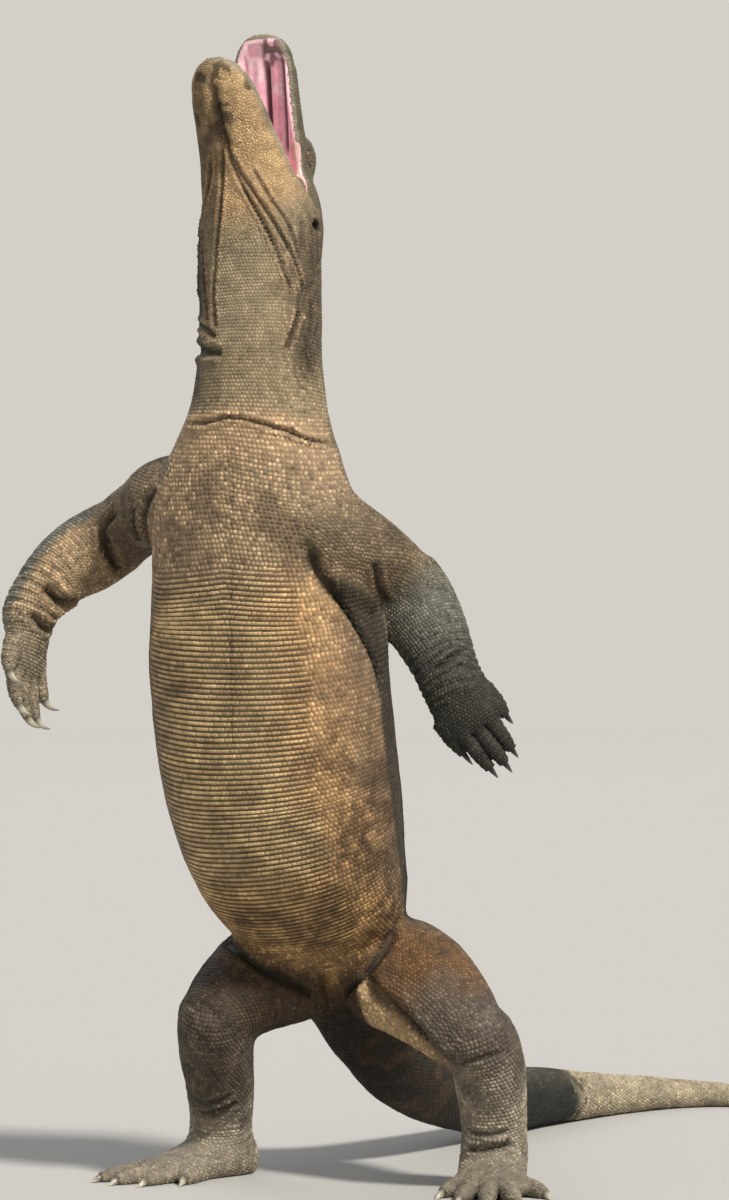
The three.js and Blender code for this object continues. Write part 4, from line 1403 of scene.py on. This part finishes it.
class Paint:
    """A node material, built up by short calls."""

    def __init__(self, name):
        self.material = bpy.data.materials.new(name)
        self.material.use_nodes = True
        self.tree = self.material.node_tree
        self.shader = self.tree.nodes["Principled BSDF"]

    def node(self, kind, inputs=(), **settings):
        """A new node. Inputs are (name or number, value or another node's output)."""
        made = self.tree.nodes.new(kind)
        for key, value in settings.items():
            setattr(made, key, value)
        for name, value in inputs:
            self.feed(made.inputs[name], value)
        return made

    def feed(self, socket, value):
        if isinstance(value, bpy.types.NodeSocket):
            self.tree.links.new(value, socket)
        else:
            socket.default_value = value

    def set(self, **values):
        """Sets the shader's sockets, which are named here with _ for a space."""
        for name, value in values.items():
            self.feed(self.shader.inputs[name.replace("_", " ")], value)

    def times(self, a, b):
        return self.node("ShaderNodeMath", [(0, a), (1, b)], operation="MULTIPLY").outputs[0]

    def noise(self, scale, detail=3.0, roughness=0.55):
        place = self.node("ShaderNodeTexCoord").outputs["Object"]
        return self.node("ShaderNodeTexNoise", [("Vector", place), ("Scale", scale), ("Detail", detail),
                                                ("Roughness", roughness)]).outputs["Fac"]

    def spread(self, value, low, high, to_low, to_high):
        return self.node("ShaderNodeMapRange", [
            ("Value", value), ("From Min", low), ("From Max", high), ("To Min", to_low),
            ("To Max", to_high)]).outputs["Result"]

    def attribute(self, name, output="Fac"):
        return self.node("ShaderNodeAttribute", attribute_name=name).outputs[output]

    def tinted(self, share):
        """The mesh's own colours, scaled by a number."""
        colour = self.attribute("tint", "Color")
        scaled = self.node("ShaderNodeVectorMath", [(0, colour), ("Scale", share)], operation="SCALE")
        self.set(Base_Color=scaled.outputs[0])

    def bump(self, height, strength, distance):
        raised = self.node("ShaderNodeBump", [("Height", height), ("Strength", strength),
                                              ("Distance", distance)])
        self.set(Normal=raised.outputs["Normal"])


def hide_paint(name):
    """Dry hide: the markings, mottled and grained, with painted shade down between the scales, and dirt
    with painted shade in the creases.
    """
    p = Paint(name)
    mottle = p.spread(p.noise(70, 4), 0.3, 0.7, 0.8, 1.18)
    shade = p.times(mottle, p.spread(p.noise(900, 2), 0.3, 0.7, 0.84, 1.14))
    # painted shade: darker round each scale's rim and on the skin between the scales
    shade = p.times(shade, p.spread(p.attribute("depth"), 0, 1, 1, 0.2))
    # dirt with painted shade in the creases, furrows and openings
    p.tinted(p.times(shade, p.spread(p.attribute("dirt"), 0, 1, 1, 0.22)))
    p.set(Roughness=p.spread(mottle, 0.8, 1.2, 0.78, 0.62), Specular_IOR_Level=0.35)
    p.bump(p.noise(1100, 3), 0.5, 0.0006)
    return p.material


def lining_paint():
    """The wet lining of the mouth."""
    p = Paint("lining")
    p.tinted(p.spread(p.noise(160, 5, 0.6), 0.3, 0.7, 0.82, 1.12))
    p.set(Roughness=0.28, Subsurface_Weight=0.15, Subsurface_Radius=(0.006, 0.002, 0.0015),
          Subsurface_Scale=1.0)
    p.bump(p.noise(220, 4), 0.4, 0.0015)
    return p.material


def horn_paint():
    """Claws: smooth horn, streaked along."""
    p = Paint("horn")
    p.tinted(p.spread(p.noise(260, 3), 0.3, 0.7, 0.8, 1.15))
    p.set(Roughness=0.32)
    p.bump(p.noise(500, 2), 0.25, 0.0004)
    return p.material


def eye_paint():
    """Eyes: the iris under a clear wet layer."""
    p = Paint("eye")
    p.tinted(p.spread(p.noise(900, 4), 0.3, 0.7, 0.7, 1.3))
    p.set(Roughness=0.12, Coat_Weight=1.0, Coat_Roughness=0.03)
    return p.material


def floor_paint():
    p = Paint("floor_paint")
    p.set(Base_Color=(0.42, 0.41, 0.39, 1), Roughness=0.9, Specular_IOR_Level=0.0)
    return p.material


def backdrop_paint():
    """A backdrop that glows as bright as the lit floor, so that no light falls off across it."""
    p = Paint("backdrop_paint")
    p.set(Base_Color=(0, 0, 0, 1), Roughness=1.0, Specular_IOR_Level=0.0,
          Emission_Color=(0.655, 0.630, 0.580, 1), Emission_Strength=1.0)
    return p.material


def dress(piece, slot, paint, *nodes, **looks):
    """Gives a piece its paint and its colours and numbers, in place of the named nodes. The slot is not
    used.
    """
    add_colour(piece.data, "tint", looks["tint"])
    for name in ("depth", "dirt"):
        if name in looks:
            add_number(piece.data, name, looks[name])
    piece.data.materials.append(paint)
    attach(piece, "root")
    if nodes:
        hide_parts(*nodes)


# ---- the skin

ARMPIT_DEPTH = 9  # how far the flank is hollowed behind the left arm
CREASE_DEPTH = 2.0  # how far the skin sinks between two digits
skin_mesh = fit(without_crumbs(rough_body()), 3)
skin_mesh = fit(settle(fit(finer_head(settle(skin_mesh)), 2)), 2)
skin_mesh.name = "skin"
points, normals = coords(skin_mesh), normals_of(skin_mesh)
tree = tree_of(points, skin_mesh)
colour, owner, arc, angle = body_reading(points)
relief = palate_relief(points)
lining = mouth_lining(points)
lined = lining > 0.5

shift, dirt, pale = np.zeros((3, len(points)))
for settings in FOLDS:
    sink, dark, light = Fold(tree, *settings).press(points)
    shift += sink
    dirt, pale = np.maximum(dirt, dark), np.maximum(pale, light)
small = wrinkles(points, owner, arc, angle)
flank = behind_arm(points, angle) * (owner == 0) * smooth(650, 740, points[:, 2])
sunk = small - ARMPIT_DEPTH * (flank * smooth(14, 34, clear_of_arm(points)))
crease = between_digits(points)
opening = np.min(distances(EARS + NOSTRILS, points), axis=0)
shift += (1 - lining) * (lids(points) + sunk + 1.1 * noise(points, 55, 12) + 0.5 * noise(points, 18, 13))
shift -= CREASE_DEPTH * crease
# painted shade and dirt in the wrinkles' furrows, in the creases between the digits and round the ears and
# nostrils
for more_grime_and_shade in (0.55 * smooth(-0.2, -1.2, small), 0.75 * crease, smooth(2.0, 0.5, opening)):
    dirt = np.maximum(dirt, more_grime_and_shade)

points = points + normals * shift[:, None] + relief[:, None] * HEAD[:3, 2]
points[:, 2] = np.maximum(points[:, 2], ON_FLOOR)
set_coords(skin_mesh, points)
normals = normals_of(skin_mesh)
tree = tree_of(points, skin_mesh)
worn = 1 + 0.3 * smooth(0.1, 0.6, sunk)  # the crests of the wrinkles are rubbed paler
colour = layered(colour, ("chest_top", pale)) * worn[:, None]
colour[lined] = paint_mouth(points[lined])

# ---- laying the coat

lies, sizes = np.zeros_like(points), np.full(len(points), 6.5)
for k, tube in enumerate(COATED):
    own = owner == k
    lies[own] = tube.at(arc[own])[:, 3:6]
    sizes[own] = pitch_of(tube, arc[own])[0]
roots = lay_scales(tree)
bare = ~lined
roots = np.vstack([roots, fill_gaps(roots, points[bare], normals[bare], lies[bare], sizes[bare])])

# Each scale takes its colours from the nearest corner of the skin. None lies in the mouth, in a
# deep crease or opening, on the floor's side, or over an eye or a claw.
nearest = [tree.find_nearest(Vector(p))[2] for p in roots[:, :3]]
first = np.array([skin_mesh.polygons[i].vertices[0] for i in nearest])
eye_gap = np.min([np.linalg.norm(roots[:, :3] - eye, axis=1) for eye in EYES], axis=0)
claw_gap = np.min(distances([claw for five in claws.values() for claw in five], roots[:, :3]), axis=0)
keep = (lining[first] < 0.3) & (dirt[first] < 0.8) & (opening[first] > 0.8) & (roots[:, 2] > 1.2)
keep &= (eye_gap > EYE_RADIUS + 1.5) & (claw_gap > 1.2)
roots, first = roots[keep], first[keep]
places = roots[:, :3]
root_colour, root_owner, root_arc, root_angle = body_reading(places)
root_colour = layered(root_colour, ("chest_top", pale[first])) * worn[first][:, None]

# How much the scales differ from one to the next: little in the belly's rows, much on the chest.
z, front = roots[:, 2], np.sin(root_angle)
on_trunk = root_owner == 0
flat = plate_share(places, root_owner, root_angle)
chest = on_trunk * span(z, 740, 830, 930, 960) * smooth(-0.2, 0.3, front)
throat = on_trunk * smooth(1000, 1060, z) * smooth(0.7, 0.9, front)
kinds = np.array([kind_of(COATED[k]) for k in root_owner])
faced = np.isin(kinds, ["cranium", "mandible"])
armed = np.isin(kinds, ["forearm", "palm", "finger"]) + 0.5 * np.isin(kinds, ["thigh", "shin", "upper"])
unlike = 0.22 - 0.12 * flat + 0.12 * chest - 0.07 * faced + 0.10 * armed - 0.1 * throat
patch = smooth(0.0, 0.4, noise(places, 38, 21) + 0.5 * noise(places, 13, 22))
band = noise(places * (0.22, 0.22, 1), 7, 44) + 0.6 * noise(places * (0.5, 0.5, 1), 22, 45)
light = np.exp(rng.normal(0, 1, len(roots)) * unlike)
light *= (1 - (0.3 + 0.3 * chest) * patch * (1 - flat)) * (1 + 0.34 * flat * band)
stretch = 1 + 0.05 * rng.normal(0, 1, len(roots))
tints = root_colour * np.clip(light, 0.35, 1.7)[:, None]

PIECES = dict(cranium="head", mandible="jaw", finger="hand", palm="hand", toe="foot", foot="foot",
              upper="arm", forearm="arm", thigh="leg", shin="leg")
SPOT = (0.0015, 0.0012)  # how far a scale's rim and shoulder lie from its middle on the UV map


def piece_of(tube, z, angle):
    """Which joined mesh a scale belongs to."""
    kind = kind_of(tube)
    if kind == "trunk":
        part = "neck" if z > GULAR else "chest" if z > CHEST else "belly"
        return part + ("_front" if np.sin(angle) > 0 else "_back")
    side = next((end for end in ("_left", "_right") if end in tube.name), "")
    return PIECES.get(kind, kind) + side


def scales_of(own, corners, square, shoulder, long, wide, tall):
    """The mesh arrays of these scales: points, faces, colours, depths of painted shade, dirt with painted
    shade, and baking spots.
    """
    some = roots[own]
    height = np.minimum(some[:, 9], some[:, 10]) * (tall + 0.04 * armed[own])
    p, f = scale_mesh(some, corners, square, shoulder, long * stretch[own], wide, height)
    each = 2 * corners + 1
    # painted shade round each scale's rim, fainter on its shoulder, and fainter round beads than round the
    # belly's plates
    gap = BEAD_GAP + (1 - BEAD_GAP) * flat[own]
    depth = (np.r_[np.ones(corners), np.full(corners, 0.15), 0][None] * gap[:, None]).ravel()
    tubes, column = np.unique(root_owner[own], return_inverse=True)
    lengths = np.array([COATED[k].length for k in tubes])[column]
    uv = np.stack([(column + 0.01 + 0.98 * (root_angle[own] + np.pi) / (2 * np.pi)) / len(tubes),
                   0.005 + 0.99 * np.clip(root_arc[own] / lengths, 0, 1)], 1)
    turn = np.tile(corner_turns(corners), 2)
    circle = np.stack([np.cos(turn), np.sin(turn)], 1) * np.repeat(SPOT, corners)[:, None]
    spots = (uv[:, None] + np.vstack([circle, [(0, 0)]])[None]).reshape(-1, 2)
    return p, f, np.repeat(tints[own], each, axis=0), depth, np.repeat(dirt[first[own]], each), spots


coat_paint = hide_paint("coat")
labels = np.array([piece_of(COATED[k], p[2], a) for k, p, a in zip(root_owner, roots, root_angle)])
for label in sorted(set(labels)):
    here = labels == label
    groups = [(PLATE, here & (flat > 0.5)), (BEAD, here & (flat <= 0.5))]
    parts = [scales_of(own, *shape) for shape, own in groups if own.any()]
    starts = np.cumsum([0] + [len(part[0]) for part in parts])
    f = np.vstack([part[1] + start for part, start in zip(parts, starts)])
    p, tint, depth, scale_grime_and_shade, spots = (np.concatenate([part[i] for part in parts]) for i in (0, 2, 3, 4, 5))
    piece = new_mesh("scales_" + label, metres(p), f)
    layer = piece.data.uv_layers.new(name="OFBake")
    layer.data.foreach_set("uv", spots[f.ravel()].astype(np.float32).ravel())
    dress(piece, "skin", coat_paint, tint=tint, depth=depth, dirt=scale_grime_and_shade)

# ---- claws

CLAW_SIDES, CLAW_RINGS = 14, 26
CLAW_SLIM = 0.86
RESTING = 4.0  # below this height a claw bends level along the floor
SHADED = dict(hand_left=0.12)  # the claws painted far darker than the others: painted shade
horn = horn_paint()
share = np.linspace(0, 1, CLAW_RINGS)
along = np.repeat(share, CLAW_SIDES)
for limb, five in claws.items():
    p, f = [], []
    for claw in five:
        middle = claw.at(share * claw.length)[:, None, :3]
        rings = middle + (claw.ring(share * claw.length, CLAW_SIDES) - middle) * CLAW_SLIM
        low = rings[..., 2] < RESTING
        rings[..., 2][low] = RESTING * np.exp(rings[..., 2][low] / RESTING - 1)
        f += tube_faces(CLAW_RINGS, CLAW_SIDES, len(p) * CLAW_RINGS * CLAW_SIDES)
        p.append(rings.reshape(-1, 3))
    shade = layered("horn_root", ("horn", smooth(0.1, 0.45, along))) * SHADED.get(limb, 1)
    tint = np.tile(mixed(shade, 0.6 * shade, smooth(0.6, 1.0, along)), (len(five), 1))
    nails = new_mesh("nails_" + limb, metres(np.vstack(p)), f)
    dress(nails, "claw", horn, *[f"claw_{limb}_{i + 1}" for i in range(len(five))], tint=tint)

# ---- eyes

PUPIL, IRIS = 16.5, 42  # degrees from the middle of the eye to the edge of each
iris = eye_paint()
for side, name, centre in ((LEFT, "left", EYES[0]), (RIGHT, "right", EYES[1])):
    ball, f = round_ball(48, 48)
    off_axis = np.degrees(np.arccos(np.clip(ball[:, 2], -1, 1)))
    outward = unit(side * HEAD[:3, 1] + 0.12 * HEAD[:3, 0])
    up = unit(HEAD[:3, 2] - outward * (outward @ HEAD[:3, 2]))
    turn = np.stack([np.cross(up, outward), up, outward])
    radius = EYE_RADIUS * (1 + 0.05 * smooth(IRIS, 25, off_axis))
    rays = smooth(0, 1, 0.5 + 0.5 * np.sin(22 * np.arctan2(ball[:, 1], ball[:, 0])))
    tint = layered("iris", ("iris_light", 0.6 * rays * smooth(20, 30, off_axis)),
                   ("pupil", smooth(PUPIL + 1, PUPIL - 1, off_axis)),
                   ("pupil", 0.9 * smooth(IRIS - 4, IRIS + 4, off_axis)))
    eye = new_mesh("eyeball_" + name, metres(centre + (ball * radius[:, None]) @ turn), f)
    dress(eye, "eye", iris, "eye_" + name, tint=tint)

# ---- the skin's own object

set_coords(skin_mesh, metres(points))
skin_mesh.shade_smooth()
skin_mesh.materials.clear()
skin = linked("skin", skin_mesh)
# painted shade on the skin down between the scales, none in the mouth
gap = (BEAD_GAP + (1 - BEAD_GAP) * plate_share(points, owner, angle)) * (1 - lining)
fleshy = [name for name in frame["nodes"] if not name.startswith(("eye_", "claw_"))]
dress(skin, "skin", hide_paint("hide"), *fleshy, tint=colour, depth=gap, dirt=dirt)
skin_mesh.materials.append(lining_paint())
corner = np.array([face.vertices[0] for face in skin_mesh.polygons])
skin_mesh.polygons.foreach_set("material_index", lined[corner].astype(np.int32))

# ---- floor, light and camera

FLOOR_RADIUS, WALL_BEND = 18.0, 7.0  # a bend so wide keeps the wall's shadow off the floor
WORLD_COLOUR, WORLD_STRENGTH = (0.94, 0.96, 1, 1), 0.5


def turned(name, profile, paint):
    """A piece of the stage: a line of (radius, height) turned about the Z axis."""
    turns = np.linspace(0, 2 * np.pi, 96, endpoint=False)
    n = len(turns)
    rings = [(r * math.cos(t), r * math.sin(t), z) for r, z in profile for t in turns]
    faces = [[i * n + k, (i + 1) * n + k, (i + 1) * n + (k + 1) % n, i * n + (k + 1) % n]
             for i in range(len(profile) - 1) for k in range(n)]
    middle = [list(range(n))] if profile[0][0] < 1 else []
    piece = new_mesh(name, rings, faces + middle)
    piece.data.materials.append(paint)


def stage():
    """A pale floor with a backdrop that curves up all round it, and an even sky."""
    bend = [(FLOOR_RADIUS + WALL_BEND * math.sin(t), WALL_BEND * (1 - math.cos(t)))
            for t in np.linspace(0, np.pi / 2, 12)]
    turned("floor", [(0.5, 0.0), (FLOOR_RADIUS, 0.0)], floor_paint())
    turned("backdrop", bend, backdrop_paint())
    world = bpy.data.worlds.new("studio")
    world.use_nodes = True
    sky = world.node_tree.nodes["Background"].inputs
    sky["Color"].default_value, sky["Strength"].default_value = WORLD_COLOUR, WORLD_STRENGTH
    bpy.context.scene.world = world


def placed(name, data, towards):
    """A light or camera that looks towards that direction."""
    made = linked(name, data)
    made.rotation_euler = Vector(towards).to_track_quat("-Z", "Y").to_euler()
    return made


def sun(name, towards, strength, soft, colour):
    light = bpy.data.lights.new(name, "SUN")
    light.energy, light.angle, light.color = strength, math.radians(soft), colour
    placed(name, light, towards)


stage()
sun("key", (-0.86, 0.52, -1.12), 4.1, 9, (1, 0.96, 0.90))
sun("fill", (0.75, -0.60, -0.80), 0.7, 40, (0.94, 0.97, 1))
bpy.context.scene.view_settings.view_transform = "Standard"

# The camera stands level with the hips, well in front and to the animal's left.
VIEW_TURN = math.radians(20)
VIEW_DISTANCE = 6.0
VIEW_HEIGHT = 0.78
VIEW_ASIDE = 0.0709
VIEW_DOWN = math.radians(0.186)
LENS = 138.46
ahead = vec(-math.sin(VIEW_TURN), math.cos(VIEW_TURN), 0)
aside = vec(math.cos(VIEW_TURN), math.sin(VIEW_TURN), 0)
lens = bpy.data.cameras.new("camera")
lens.lens, lens.sensor_width, lens.clip_end = LENS, 36, 60
camera = placed("camera", lens, ahead * math.cos(VIEW_DOWN) - vec(0, 0, 1) * math.sin(VIEW_DOWN))
camera.location = aside * VIEW_ASIDE - ahead * VIEW_DISTANCE + vec(0, 0, VIEW_HEIGHT) + SHIFT * MM
bpy.context.scene.camera = camera
